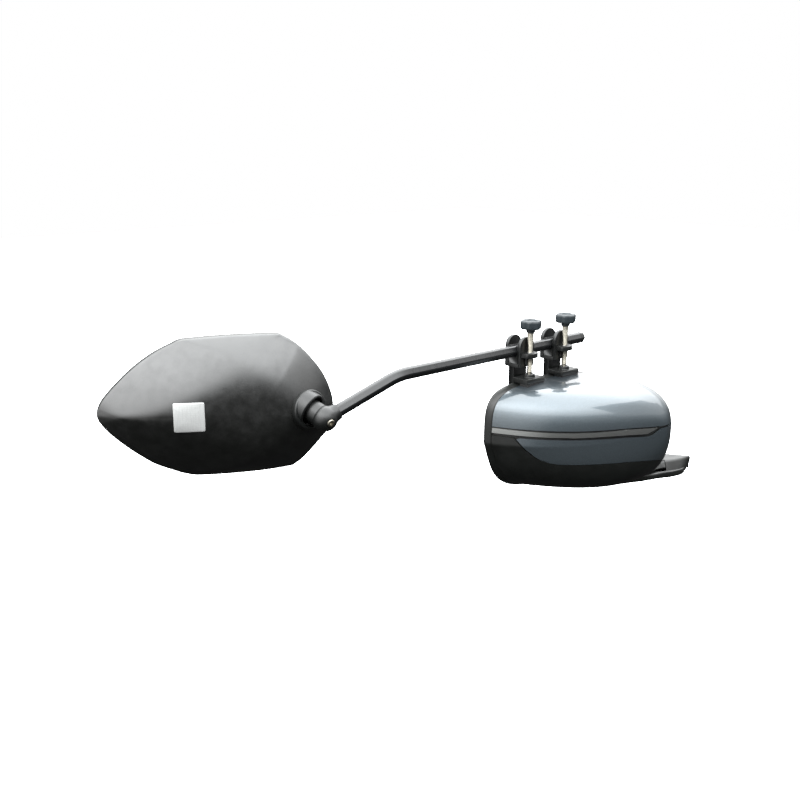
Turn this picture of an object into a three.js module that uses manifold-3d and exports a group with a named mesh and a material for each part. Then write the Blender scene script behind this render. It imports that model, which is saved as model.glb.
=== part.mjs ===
import * as THREE from 'three';
import { mergeVertices } from 'three/addons/utils/BufferGeometryUtils.js';
import Module from 'manifold-3d';

// A car door mirror with a clamp-on towing mirror. Millimetres, +X inboard, +Y rearward, +Z up.
// Everything is laid out from the arm's axis at the outer clamp, then moved to the door face.
const doorFace = new THREE.Vector3(270, -64, -187);
const gap = 0.3;
const skin = 2.6;

// Mirror housing
const rimFrontY = -16;
const rimBackY = -4;
const domeDepth = 137;
const rim = { left: 126, right: 128, up: 71, down: 73, x: 66, z: -112 };
const nose = { x: 125, z: -104 };
const seam = 0.9;
const capEdge = [[-90, -88.4], [-50, -87.5], [-33, -87.2], [8, -87.7], [63, -88.3], [102, -90.9], [128, -92.2],
  [230, -92.8]];
const lensEdge = [[-90, -89.3], [-33, -89.4], [-5, -89.9], [30, -90.1], [63, -90], [91, -91.7], [109, -92.9],
  [91.6, -99], [63, -97.2], [30, -96.2], [1, -96.2], [-11, -95.8], [-47, -95.8], [-90, -96.6]];
const paintedEdge = [[-46, -99.4], [-33, -98.6], [-11, -98.6], [30, -99.3], [63, -100.1], [92, -102.4],
  [103.7, -100.6], [114, -95.4], [128, -94.4], [230, -94.6], [230, -168], [200, -162], [175, -155], [150, -148],
  [132, -143.1], [110, -138.8], [93, -136.5], [67, -134.3], [33, -133.3], [-7, -132.7], [-18.6, -131.2],
  [-24, -128.6], [-30, -125], [-35, -119.5], [-41, -112.4], [-45, -105]];
const blackTop = [[-90, -99.6], [-50, -99.6], [-44, -103], [0, -115], [230, -115]];

// Front of the foot and of the skirt above it, as stations along X: place and height of the top, place of the foot
const stations = [
  { x: 90, y: -100, z: -150, foot: -60 },
  { x: 130, y: -112, z: -150, foot: -72 },
  { x: 150, y: -115, z: -152, foot: -78 },
  { x: 170, y: -104, z: -157, foot: -87 },
  { x: 185, y: -88, z: -163, foot: -92.5 },
  { x: 195, y: -80, z: -169, foot: -96 },
  { x: 205, y: -80, z: -174, foot: -99 },
  { x: 215, y: -84, z: -177, foot: -103 },
  { x: 221, y: -88.6, z: -177, foot: -105.5 },
  { x: 240, y: -97, z: -177, foot: -108.5 },
  { x: 255, y: -100.5, z: -177, foot: -104.5 },
  { x: 272, y: -104.5, z: -177, foot: -95 },
];
const footFloor = -198;
const footPlateTop = -189.3;
const skirtFloor = -186.5;
const swingR = 70;
const pivot = { x: 165, y: -50, post: 11, barrel: 17, barrelFloor: -158.3, top: -130 };
const doorX = 270;
const insertsAt = [[-92, -187.5], [-72, -191], [-46, -193]];

// Glass and its drive
const glassCentre = new THREE.Vector3(64, -14, -115);
const glassTop = -54;
const frameY = -48;
const driveY = -36;
const gimbalY = -25.5;
const jackOffset = 28;

// Clamps and arm
const clampX = { outer: 6.8, inner: 77 };
const barFlats = 13.6;
const barEnd = 127;
const bend = new THREE.Vector3(-205, 0, 0);
const knuckleAt = new THREE.Vector3(-296.2, 23.7, -40.8);
const knuckleR = 14.8;
const screwY = -18;
const screwR = 3.5;
const lug = { half: 11, low: -7, top: -1 };
const yoke = { inner: 8, outer: 13, half: 13.5, top: 19 };
const jaw = { low: -51, top: -47.8 };

// Towing mirror head: U runs inboard from the outer tip, V up, W forward out of the face
const headYaw = -27;
const headScale = [1.09, 1.035];
const headDepth = 50;
const headOutline = [[0, 0.5], [2, 9], [9, 20], [27, 39.5], [44, 54.4], [61, 66], [77, 74], [87, 78.4], [101, 79.6],
  [133, 80.8], [166, 80.8], [186, 80.2], [193, 78], [209, 67], [225, 49], [236, 32], [243, 14], [246, -4],
  [242, -29], [232, -43], [216, -61], [204, -71], [196, -74], [166, -76.5], [130, -77], [100, -76],
  [86, -73], [76, -69], [56, -59.5], [41, -48.5], [26, -35.5], [12, -21], [3, -8.5]];
const headMiddle = [150, 0];
const headRim = 13;
const ballAt = new THREE.Vector3(-305.8, 52.05, -28.4);
const ballR = 6.5;
const reflectorBox = [82, 116, -15.5, 18];
const ballInHead = [228, 4, 24];
const socketShare = 0.36;

const wasm = await Module();
wasm.setup();

const looks = {
  paint: { color: 0x8f9cab, roughness: 0.3, metalness: 0.6 },
  blackSatin: { color: 0x15171a, roughness: 0.55, metalness: 0 },
  blackMatt: { color: 0x101211, roughness: 0.75, metalness: 0 },
  greyKnob: { color: 0x2c3236, roughness: 0.6, metalness: 0 },
  steel: { color: 0xb9b4a8, roughness: 0.3, metalness: 0.9 },
  brass: { color: 0xb28d45, roughness: 0.35, metalness: 0.9 },
  coatedArm: { color: 0x0c0d0e, roughness: 0.4, metalness: 0.2 },
  rubber: { color: 0x0d0d0d, roughness: 0.9, metalness: 0 },
  nylon: { color: 0xd6d2c6, roughness: 0.55, metalness: 0 },
  lens: { color: 0xdfe3e6, roughness: 0.1, metalness: 0.1 },
  board: { color: 0x1d4a2c, roughness: 0.6, metalness: 0 },
  mirror: { color: 0xc9d2d8, roughness: 0.03, metalness: 1 },
  reflector: { color: 0xdadde0, roughness: 0.35, metalness: 0 },
  foil: { color: 0x3a2a20, roughness: 0.6, metalness: 0 },
};

const part = new THREE.Group();
part.name = 'car_side_mirror';

function add(name, geometry, look) {
  const material = new THREE.MeshStandardMaterial(looks[look]);
  const mesh = new THREE.Mesh(geometry, material);
  mesh.name = name;
  mesh.position.copy(doorFace).negate();
  part.add(mesh);
}

// Solid modelling helpers
function toSolid(geometry) {
  const bare = new THREE.BufferGeometry();
  bare.setAttribute('position', geometry.getAttribute('position'));
  if (geometry.index) {
    bare.setIndex(geometry.index);
  }
  const merged = mergeVertices(bare, 1e-4);
  return new wasm.Manifold(new wasm.Mesh({
    numProp: 3,
    vertProperties: new Float32Array(merged.getAttribute('position').array),
    triVerts: new Uint32Array(merged.index.array),
  }));
}

function toGeometry(solid) {
  const mesh = solid.getMesh();
  const geometry = new THREE.BufferGeometry();
  const positions = [];
  for (let i = 0; i < mesh.vertProperties.length; i += mesh.numProp) {
    positions.push(mesh.vertProperties[i], mesh.vertProperties[i + 1], mesh.vertProperties[i + 2]);
  }
  geometry.setAttribute('position', new THREE.Float32BufferAttribute(positions, 3));
  geometry.setIndex(Array.from(mesh.triVerts));
  return geometry;
}

function join(...geometries) {
  return toGeometry(geometries.map(toSolid).reduce((whole, one) => whole.add(one)));
}

function cut(body, ...tools) {
  return toGeometry(tools.map(toSolid).reduce((whole, one) => whole.subtract(one), toSolid(body)));
}

function keep(body, region) {
  return toGeometry(toSolid(body).intersect(toSolid(region)));
}

// The biggest of the bodies that a cut leaves
function biggest(body) {
  const bodies = toSolid(body).decompose();
  return toGeometry(bodies.reduce((best, one) => (one.volume() > best.volume() ? one : best)));
}

function box(x0, x1, y0, y1, z0, z1) {
  const geometry = new THREE.BoxGeometry(x1 - x0, y1 - y0, z1 - z0);
  geometry.translate((x0 + x1) / 2, (y0 + y1) / 2, (z0 + z1) / 2);
  return geometry;
}

// Turned along +Z from [radius, height] pairs that start and end on the axis or close on themselves
function turned(profile, x, y, z, sides = 24) {
  const geometry = new THREE.LatheGeometry(profile.map(([r, h]) => new THREE.Vector2(r, h)), sides);
  geometry.rotateX(Math.PI / 2);
  geometry.translate(x, y, z);
  return geometry;
}

function rod(radius, z0, z1, x, y, sides = 24) {
  return turned([[0, z0], [radius, z0], [radius, z1], [0, z1]], x, y, 0, sides);
}

// Turns a geometry made along +Z so that it points along a direction, and moves it to a place
function aim(geometry, direction, at) {
  const up = new THREE.Vector3(0, 0, 1);
  const turn = new THREE.Quaternion().setFromUnitVectors(up, direction.clone().normalize());
  geometry.applyQuaternion(turn);
  geometry.translate(at.x, at.y, at.z);
  return geometry;
}

// A flat outline in X and Z pushed along Y
function slab(outline, y0, y1) {
  const shape = new THREE.Shape(outline.map(([x, z]) => new THREE.Vector2(x, z)));
  const geometry = new THREE.ExtrudeGeometry(shape, { depth: y1 - y0, bevelEnabled: false, curveSegments: 10 });
  geometry.rotateX(Math.PI / 2);
  geometry.translate(0, y1, 0);
  return geometry;
}

// A flat outline in X and Y pushed up along Z, with an optional bevel
function plate(outline, z0, z1, bevel = 0) {
  const shape = new THREE.Shape(outline.map(([x, y]) => new THREE.Vector2(x, y)));
  const geometry = new THREE.ExtrudeGeometry(shape, {
    depth: z1 - z0 - 2 * bevel,
    bevelEnabled: bevel > 0,
    bevelThickness: bevel,
    bevelSize: bevel,
    bevelOffset: -bevel,
    bevelSegments: 3,
  });
  geometry.translate(0, 0, z0 + bevel);
  return geometry;
}

// A closed surface from rings of points, each ring closed, with a point at each end
function fromRings(rings, startPoint, endPoint) {
  const count = rings[0].length;
  const positions = [];
  rings.forEach((ring) => ring.forEach((p) => positions.push(p.x, p.y, p.z)));
  const index = [];
  const last = rings.length - (startPoint ? 1 : 0);
  for (let i = 0; i < last; i += 1) {
    for (let j = 0; j < count; j += 1) {
      const a = i * count + j;
      const b = i * count + ((j + 1) % count);
      const c = ((i + 1) % rings.length) * count + j;
      const d = ((i + 1) % rings.length) * count + ((j + 1) % count);
      index.push(a, b, c, b, d, c);
    }
  }
  if (startPoint) {
    const start = rings.length * count;
    positions.push(startPoint.x, startPoint.y, startPoint.z, endPoint.x, endPoint.y, endPoint.z);
    for (let j = 0; j < count; j += 1) {
      index.push(start, (j + 1) % count, j);
      const row = (rings.length - 1) * count;
      index.push(start + 1, row + j, row + ((j + 1) % count));
    }
  }
  const geometry = new THREE.BufferGeometry();
  geometry.setAttribute('position', new THREE.Float32BufferAttribute(positions, 3));
  geometry.setIndex(index);
  return facingOut(geometry);
}

// Flips a closed mesh whose faces point inwards
function facingOut(geometry) {
  const p = geometry.getAttribute('position');
  const index = geometry.index.array;
  const corner = [new THREE.Vector3(), new THREE.Vector3(), new THREE.Vector3()];
  let volume = 0;
  for (let i = 0; i < index.length; i += 3) {
    corner.forEach((v, k) => v.fromBufferAttribute(p, index[i + k]));
    volume += corner[0].dot(corner[1].clone().cross(corner[2]));
  }
  if (volume < 0) {
    for (let i = 0; i < index.length; i += 3) {
      [index[i], index[i + 1]] = [index[i + 1], index[i]];
    }
  }
  return geometry;
}

// Housing surface: rounded outlines that shrink and drift inboard from the rim to the nose
const around = 60;
const along = 12;

function roundedCorner(angle, power) {
  const c = Math.cos(angle);
  const s = Math.sin(angle);
  return [Math.sign(c) * Math.abs(c) ** (2 / power), Math.sign(s) * Math.abs(s) ** (2 / power)];
}

function domePoint(angle, t, grow = 0) {
  const inboard = Math.cos(angle) > 0;
  const upper = Math.sin(angle) > 0;
  const power = inboard ? (upper ? 2.3 + 0.15 * t : 4 - 1.9 * t) : (upper ? 4.6 - 1.8 * t : 3.3 - 0.6 * t);
  const [c, s] = roundedCorner(angle, power);
  const width = inboard ? rim.right * (1 - t ** 1.32) ** 0.62 : rim.left * (1 - t ** 3) ** 0.72;
  const height = upper ? rim.up * (1 - t ** 2.7) ** 0.42 : rim.down * (1 - t ** 6.4) ** 0.54;
  const lean = upper || inboard ? 0 : 15 * (1 - (1 + s) ** 2) * (1 - t) * Math.min(1, -2.5 * c);
  return new THREE.Vector3(
    THREE.MathUtils.lerp(rim.x, nose.x, t) + c * (width + grow) + lean,
    rimFrontY - domeDepth * t - grow * t,
    THREE.MathUtils.lerp(rim.z, nose.z, t) + s * (height + grow),
  );
}

function domeRing(t, grow, y, count = around) {
  const ring = [];
  for (let j = 0; j < count; j += 1) {
    const p = domePoint((2 * Math.PI * j) / count, t, grow);
    if (y !== undefined) {
      p.y = y;
    }
    ring.push(p);
  }
  return ring;
}

function domeSolid(grow, fine = false) {
  const steps = fine ? along : along - 3;
  const rings = [];
  for (let i = 0; i < steps; i += 1) {
    const t = Math.sin((Math.PI / 2) * (i / steps)) ** 0.9;
    rings.push(domeRing(t, grow, undefined, fine ? around : around - 16));
  }
  const nosePoint = domePoint(0, 1, grow);
  nosePoint.x = nose.x;
  nosePoint.z = nose.z;
  return fromRings(rings, new THREE.Vector3(rim.x, rimFrontY, rim.z), nosePoint);
}

function domeShell() {
  const ends = [rimFrontY + 5, rimFrontY - 0.2];
  const [front, back] = ends.map((y) => new THREE.Vector3(rim.x, y, rim.z));
  const mouth = fromRings(ends.map((y) => domeRing(0, -skin, y, around - 16)), front, back);
  return cut(domeSolid(0, true), domeSolid(-skin), mouth);
}

function region(edge) {
  return slab(edge, -220, 20);
}

// Moves every side of a closed outline outwards by a distance
function widened(outline, distance) {
  const area = outline.reduce((sum, [x, z], i) => {
    const [nx, nz] = outline[(i + 1) % outline.length];
    return sum + x * nz - nx * z;
  }, 0);
  const side = Math.sign(area) * distance;
  return outline.map(([x, z], i) => {
    const [px, pz] = outline[(i + outline.length - 1) % outline.length];
    const [nx, nz] = outline[(i + 1) % outline.length];
    const before = new THREE.Vector2(z - pz, px - x).normalize();
    const after = new THREE.Vector2(nz - z, x - nx).normalize();
    const mid = before.clone().add(after);
    const stretch = Math.min(2 / mid.lengthSq(), 1.5);
    return [x + mid.x * side * stretch, z + mid.y * side * stretch];
  });
}

function housingSkins() {
  const shell = domeShell();
  add('painted_cap', keep(shell, region([...capEdge, [230, 20], [-90, 20]])), 'paint');
  add('indicator_lens', keep(shell, region(lensEdge)), 'lens');
  add('lower_cover_painted', keep(shell, region(widened(paintedEdge, -seam / 2))), 'paint');
  const painted = region(widened(paintedEdge, seam / 2));
  const black = keep(shell, region([...blackTop, [230, -230], [-90, -230]]));
  const swivelWay = rod(18.5, -240, -160, pivot.x, pivot.y, 32);
  add('lower_cover_black', cut(join(black, skirt()), painted, swivelWay), 'blackSatin');
}

// Where the front face lies at a station and height, bulging a little between its top and its foot
function frontAt({ y, z, foot }, height) {
  const share = (height - footFloor) / (z - footFloor);
  const bulge = (z - footFloor) / 10;
  return THREE.MathUtils.lerp(foot, y, share) - bulge * 4 * share * (1 - share);
}

// A closed body through one outline of [y, z] points per station
function throughStations(chosen, outlineAt) {
  const rings = chosen.map((station) => outlineAt(station).map(([y, z]) => new THREE.Vector3(station.x, y, z)));
  const middle = (ring) => ring.reduce((sum, p) => sum.add(p), new THREE.Vector3()).divideScalar(ring.length);
  return fromRings(rings, middle(rings[0]), middle(rings[rings.length - 1]));
}

// Hollow fairing that closes the housing's underside down to the foot, rounded off about the pivot
function skirt() {
  const chosen = stations.filter(({ x }) => x <= 221);
  const outline = (wall, floor) => (station) => {
    const front = (height) => [frontAt(station, height) + wall, height];
    const top = station.z - wall;
    const back = -58 - wall;
    const heights = [floor + 2, ...[0.35, 0.7, 1].map((share) => THREE.MathUtils.lerp(floor, top, share))];
    return [[back, floor], [frontAt(station, floor) + wall + 2, floor], ...heights.map(front), [back, top]];
  };
  const outside = throughStations(chosen, outline(0, skirtFloor));
  const inside = keep(throughStations(chosen, outline(3, skirtFloor - 5)), box(60, 206, -200, -61, -240, -100));
  const swing = join(box(0, pivot.x, -200, 50, -240, -100), rod(swingR, -240, -100, pivot.x, pivot.y, 64));
  return cut(keep(outside, swing), domeSolid(-1), inside);
}

function rearBezel() {
  const profile = [[-skin, rimFrontY + 0.3], [0, rimFrontY + 0.3], [2.4, -9], [3.2, -6], [2.2, rimBackY],
    [-4.2, rimBackY], [-4.5, -6.2], [-skin, -8]];
  const angles = Array.from({ length: around }, (_, j) => (2 * Math.PI * j) / around);
  const rings = profile.map(([grow, y]) => angles.map((angle) => {
    const inboardTop = Math.max(0, Math.cos(angle - Math.PI / 4));
    const flare = grow > 0 ? grow * (1 - 0.9 * inboardTop) : grow;
    return domePoint(angle, 0, flare).setY(y);
  }));
  add('rear_bezel', fromRings(rings), 'blackSatin');
}

function indicatorParts() {
  const outer = domeSolid(-skin - gap);
  const inner = domeSolid(-skin - gap - 1.4);
  const band = [[-90, -84.5], [50, -85], [140, -88], [140, -99], [92, -105], [50, -103], [-20, -102.5],
    [-90, -102]];
  const slice = keep(region(band), box(-90, 140, -200, -28, -130, -60));
  add('indicator_carrier', cut(keep(outer, slice), inner), 'blackSatin');
  const boardBand = [[-40, -93], [70, -95], [70, -98], [-40, -96.5]];
  const boardSlice = keep(region(boardBand), box(-40, 70, -150, -50, -130, -60));
  add('indicator_board', cut(keep(domeSolid(-skin - 2.2), boardSlice), domeSolid(-skin - 8)), 'board');
}

// Frame that carries the glass drive and hangs the housing on the pivot post
function housingFrame() {
  const edge = domeRing(0.26, -skin - 2, frameY).map((p) => [p.x, p.z]);
  const postWay = [[-240, pivot.barrelFloor], [pivot.top, 0]]
    .map(([z0, z1]) => rod(18.5, z0, z1, pivot.x, pivot.y, 28));
  const panel = cut(slab(edge, frameY, frameY + 3.5), ...postWay);
  const windows = [box(100, 128, -60, -30, -100, -72), box(-2, 24, -60, -30, -164, -140),
    box(-8, 16, -60, -30, -92, -66), box(96, 126, -60, -30, -168, -146)];
  const barrel = rod(pivot.barrel, pivot.barrelFloor, pivot.top, pivot.x, pivot.y, 28);
  const webs = [box(pivot.x - 16, pivot.x + 16, frameY, pivot.y + 12, -156, -134)];
  const toBack = new THREE.Vector3(0, 1, 0);
  const bosses = driveScrewsAt().map(([x, z]) => aim(rod(4, 0, driveY - frameY - 3.6, 0, 0, 12), toBack,
    new THREE.Vector3(x, frameY + 3.3, z)));
  const pilots = driveScrewsAt().map(([x, z]) => aim(rod(1.6, -8, 20, 0, 0, 12), toBack,
    new THREE.Vector3(x, frameY + 3.3, z)));
  const bore = rod(pivot.post + 0.25, -220, -100, pivot.x, pivot.y, 32);
  const springRoom = rod(pivot.barrel - 2.2, pivot.top - 16, -100, pivot.x, pivot.y, 28);
  const whole = join(panel, barrel, ...webs, ...bosses);
  add('housing_frame', cut(whole, ...windows, ...pilots, springRoom, bore), 'blackMatt');
}

function driveScrewsAt() {
  const { x, z } = glassCentre;
  return [[x - 22, z - 12], [x - 4, z - 24], [x + 20, z + 18]];
}

function glassDrive() {
  const { x, z } = glassCentre;
  const toBack = new THREE.Vector3(0, 1, 0);
  const cup = turned([[0, 0], [38, 0], [38, 12], [34, 12], [34, 4], [7, 4], [7, 13], [0, 13]], 0, 0, 0, 36);
  const body = aim(cup, toBack, new THREE.Vector3(x, driveY, z));
  const jacks = { jack_upper: [x, z + jackOffset], jack_side: [x + jackOffset, z] };
  const sockets = Object.values(jacks).map(([px, pz]) => aim(rod(4.2, -2, 20, 0, 0, 20), toBack,
    new THREE.Vector3(px, driveY, pz)));
  const screwHoles = driveScrewsAt().map(([px, pz]) => aim(rod(1.9, -2, 20, 0, 0, 12), toBack,
    new THREE.Vector3(px, driveY, pz)));
  add('glass_drive', cut(body, ...sockets, ...screwHoles), 'blackMatt');
  const motorAt = { upper: [x - 20, z + 14], side: [x + 20, z - 14] };
  Object.entries(motorAt).forEach(([name, [mx, mz]]) => {
    add(`drive_motor_${name}`, box(mx - 6, mx + 6, driveY + 4.3, driveY + 11, mz - 4, mz + 4), 'steel');
  });
  driveScrewsAt().forEach(([px, pz], i) => {
    const profile = [[0, -8], [1.5, -8], [1.5, 4.3], [3, 4.3], [3, 5.4], [2.2, 6.4], [0, 6.6]];
    add(`drive_screw_${i + 1}`, aim(turned(profile, 0, 0, 0, 14), toBack, new THREE.Vector3(px, driveY, pz)), 'steel');
  });
  Object.entries(jacks).forEach(([name, [px, pz]]) => {
    const profile = [[0, 0], [3.9, 0], [3.9, 11], [2, 13], [2, 15], [3, 16.4], [2.4, 18], [0, 18.6]];
    add(name, aim(turned(profile, 0, 0, 0, 16), toBack, new THREE.Vector3(px, driveY - 1.5, pz)), 'nylon');
  });
}

function glassOutline(margin) {
  return domeRing(0, -margin, 0).map((p) => [p.x, Math.min(p.z, glassTop - margin + 11)]);
}

function mirrorGlass() {
  const toBack = new THREE.Vector3(0, 1, 0);
  const at = (y) => new THREE.Vector3(glassCentre.x, y, glassCentre.z);
  const ring = turned([[7.6, -1.5], [10, -1.5], [10, 1.5], [7.6, 1.5], [7.6, -1.5]], 0, 0, 0, 24);
  add('glass_gimbal', aim(ring, toBack, at(gimbalY)), 'nylon');
  const hub = turned([[11, 0], [14, 0], [14, 10.5], [11, 10.5], [11, 0]], 0, 0, 0, 24);
  add('glass_carrier', join(slab(glassOutline(12.5), -16.5, -14.7), aim(hub, toBack, at(-26))), 'blackMatt');
  add('heater_pad', slab(glassOutline(16), -14.4, -13.8), 'foil');
  add('mirror_glass', slab(glassOutline(11), -13.5, -11.2), 'mirror');
}

// Foot, fold pivot and door fixings
function footParts() {
  const { x, y } = pivot;
  const low = stations.filter((station) => station.x > 140).map((station) => [station.x, station.foot]);
  const rear = [[142, -74], [137, -62], [137, -44], [146, -30], [164, -22], [186, -22], [272, -31]];
  const plan = [...low.reverse(), ...rear];
  const plateBody = plate(plan, footFloor, footPlateTop, 2.5);
  const post = turned([[0, -196], [16, -196], [16, -162.3], [pivot.post, -162.3], [pivot.post, -120], [0, -120]],
    x, y, 0, 32);
  const toDoor = new THREE.Vector3(1, 0, 0);
  const atDoor = (make) => insertsAt.map(([sy, sz]) => aim(make(), toDoor, new THREE.Vector3(doorX, sy, sz)));
  const wells = atDoor(() => rod(3.7, -14.5, 4, 0, 0, 16));
  const wireWay = rod(5, -220, -100, x, y, 20);
  const trimmed = keep(join(plateBody, footBlock(), post), box(0, doorX - 2 - gap, -200, 100, -220, 0));
  add('mirror_foot', cut(trimmed, ...wells, wireWay), 'blackSatin');
  const face = [[-101, -196], [-101, -180.5], [-64, -185.2], [-37, -189.6], [-37, -196]];
  const [inner, outer] = [doorX - 2, doorX].map((gx) => face.map(([gy, gz]) => new THREE.Vector3(gx, gy, gz)));
  const gasket = fromRings([inner, outer], new THREE.Vector3(doorX - 2, -70, -191), new THREE.Vector3(doorX, -70, -191));
  const holes = atDoor(() => rod(2.6, -6, 6, 0, 0, 16));
  add('door_gasket', cut(gasket, ...holes), 'rubber');
  const insert = [[2.1, -14], [3.4, -14], [3.4, -2.5], [2.1, -2.5], [2.1, -14]];
  atDoor(() => turned(insert, 0, 0, 0, 16)).forEach((body, i) => {
    add(`door_insert_${i + 1}`, body, 'brass');
  });
  const ring = [[pivot.post + 0.3, 0], [15.5, 0], [15.5, 3.4], [pivot.post + 0.3, 3.4], [pivot.post + 0.3, 0]];
  add('detent_ring', turned(ring, x, y, -162, 28), 'steel');
  const washer = [[pivot.post + 0.1, 0], [15, 0], [15, 1.6], [pivot.post + 0.1, 1.6], [pivot.post + 0.1, 0]];
  add('spring_washer', turned(washer, x, y, -124.5, 28), 'steel');
  const clip = [[pivot.post + 0.2, 0], [13.5, 0], [13.5, 1.2], [pivot.post + 0.2, 1.2], [pivot.post + 0.2, 0]];
  add('retaining_ring', turned(clip, x, y, -122.6, 28), 'steel');
  add('fold_spring', coil(pivot.post + 1.9, 1, -144.6, -126, 3, x, y), 'steel');
}

// Raised end of the foot at the door: its top falls to the rear, and the housing's skirt swings clear of it
function footBlock() {
  const body = throughStations(stations.filter(({ x }) => x >= 205), (station) => [
    [station.foot + 2.5, footFloor], [station.foot, footFloor + 2.5], [frontAt(station, -188), -188],
    [frontAt(station, -179.5), -179.5], [station.y + 2, -177], [-64, -183.2], [-34, -187.6], [-32, -189.6],
    [-32, footFloor]]);
  return cut(body, rod(swingR + 1, footPlateTop, -100, pivot.x, pivot.y, 64));
}

function coil(radius, wire, z0, z1, turns, x, y) {
  const rings = [];
  const steps = turns * 12;
  for (let i = 0; i <= steps; i += 1) {
    const angle = (2 * Math.PI * i * turns) / steps;
    const centre = new THREE.Vector3(x + radius * Math.cos(angle), y + radius * Math.sin(angle),
      THREE.MathUtils.lerp(z0 + wire, z1 - wire, i / steps));
    const out = new THREE.Vector3(Math.cos(angle), Math.sin(angle), 0);
    rings.push([0, 1, 2, 3, 4, 5].map((k) => {
      const turn = (2 * Math.PI * k) / 6;
      const spot = centre.clone().addScaledVector(out, wire * Math.cos(turn));
      spot.z += wire * Math.sin(turn);
      return spot;
    }));
  }
  const middle = (ring) => ring.reduce((sum, p) => sum.add(p), new THREE.Vector3()).divideScalar(6);
  return fromRings(rings, middle(rings[0]), middle(rings[rings.length - 1]));
}

// Hexagonal arm swept through its bend to the knuckle
function hexRing(at, direction, flats) {
  const side = new THREE.Vector3(0, 0, 1).cross(direction).normalize();
  const up = direction.clone().cross(side).normalize();
  const radius = (flats / Math.sqrt(3)) * 0.973;
  const ring = [];
  for (let k = 0; k < 6; k += 1) {
    [-0.13, 0.13].forEach((turn) => {
      const angle = (Math.PI / 3) * k + turn;
      const corner = at.clone().addScaledVector(side, radius * Math.cos(angle));
      ring.push(corner.addScaledVector(up, radius * Math.sin(angle)));
    });
  }
  return ring;
}

function armBar() {
  const along1 = new THREE.Vector3(-1, 0, 0);
  const along2 = knuckleAt.clone().sub(bend).normalize();
  const rings = [hexRing(new THREE.Vector3(barEnd, 0, 0), along1, barFlats)];
  const bendReach = 14;
  for (let i = 0; i <= 6; i += 1) {
    const t = i / 6;
    const from = bend.clone().addScaledVector(along1, -bendReach);
    const to = bend.clone().addScaledVector(along2, bendReach);
    const at = from.multiplyScalar((1 - t) ** 2);
    at.addScaledVector(bend, 2 * t * (1 - t)).addScaledVector(to, t ** 2);
    rings.push(hexRing(at, along1.clone().lerp(along2, t).normalize(), barFlats));
  }
  const end = knuckleAt.clone().addScaledVector(along2, -knuckleR - 3);
  rings.push(hexRing(end, along2, barFlats));
  return fromRings(rings, new THREE.Vector3(barEnd, 0, 0), end);
}

function sphere(radius, at, wide = 24, high = 16) {
  const geometry = new THREE.SphereGeometry(radius, wide, high);
  geometry.translate(at.x, at.y, at.z);
  return geometry;
}

function armParts() {
  const along2 = knuckleAt.clone().sub(bend).normalize();
  const toEar = along2.clone().negate();
  add('arm_bar', armBar(), 'coatedArm');
  const capBase = new THREE.Vector3(barEnd + gap, 0, 0);
  const toTip = new THREE.Vector3(1, 0, 0);
  const capRings = [[13.2, 0], [14, 0.6], [14, 6], [12.2, 8.2], [6.4, 9.4]]
    .map(([flats, d]) => hexRing(capBase.clone().addScaledVector(toTip, d), toTip.clone().negate(), flats));
  add('arm_end_cap', fromRings(capRings, capBase, new THREE.Vector3(barEnd + 9.8, 0, 0)), 'blackSatin');
  const neck = turned([[0, 4], [10.6, 4], [9.4, knuckleR + 2.7], [0, knuckleR + 2.7]], 0, 0, 0, 24);
  const shell = join(sphere(knuckleR, knuckleAt, 22, 14), aim(neck, toEar, knuckleAt));
  const outward = knuckleAt.clone().sub(ballAt).normalize();
  const screwWay = aim(rod(5.3, knuckleR - 3.2, 30, 0, 0, 20), screwDirection(), knuckleAt);
  const shaftWay = aim(rod(2.6, -2, 30, 0, 0, 16), screwDirection(), knuckleAt);
  const stemWay = aim(rod(4.3, 8.5, 40, 0, 0, 20), outward.clone().negate(), knuckleAt);
  add('arm_knuckle', cut(shell, screwWay, shaftWay, stemWay), 'blackSatin');
  const head = [[0, -1], [2.3, -1], [2.3, knuckleR - 2.9], [4.6, knuckleR - 2.9], [4.6, knuckleR - 0.2],
    [3.6, knuckleR + 0.8], [0, knuckleR + 0.8]];
  const socket = new THREE.CylinderGeometry(2.2, 2.2, 3, 6).rotateX(Math.PI / 2).translate(0, 0, knuckleR);
  add('knuckle_screw', aim(cut(turned(head, 0, 0, 0, 20), socket), screwDirection(), knuckleAt), 'steel');
  const reach = knuckleAt.distanceTo(ballAt);
  const stem = turned([[0, 0], [3.6, 0], [3.6, reach - 9], [0, reach - 9]], 0, 0, 0, 18);
  const ball = sphere(ballR, ballAt, 20, 14);
  add('ball_stud', join(ball, aim(stem, outward, ballAt)), 'steel');
  const sleeve = turned([[3.9, 8.4], [12, 8.4], [13, 9.4], [13, 26], [3.9, 26], [3.9, 8.4]], 0, 0, 0, 28);
  const knuckleRoom = sphere(knuckleR + gap, knuckleAt, 22, 14);
  add('ball_sleeve', cut(aim(sleeve, outward, ballAt), knuckleRoom), 'blackSatin');
}

function screwDirection() {
  return new THREE.Vector3(-0.15, -0.97, -0.15).normalize();
}

// Clamps: a yoke over the arm, a hook behind the rim, a screw with its knob and a pressure pad
function archOutline(x, half, z0, z1) {
  const outline = [[x - half, z0], [x + half, z0]];
  for (let i = 0; i <= 12; i += 1) {
    const angle = (Math.PI * i) / 12;
    outline.push([x + half * Math.cos(angle), z1 - half + half * Math.sin(angle)]);
  }
  return outline;
}

function lugOutline(x) {
  const outline = [[x - lug.half, -9], [x - lug.half, screwY - 2]];
  for (let i = 1; i < 10; i += 1) {
    const angle = Math.PI + (Math.PI * i) / 10;
    outline.push([x + lug.half * Math.cos(angle), screwY - 2 + 7 * Math.sin(angle)]);
  }
  outline.push([x + lug.half, screwY - 2], [x + lug.half, -9]);
  return outline;
}

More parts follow.
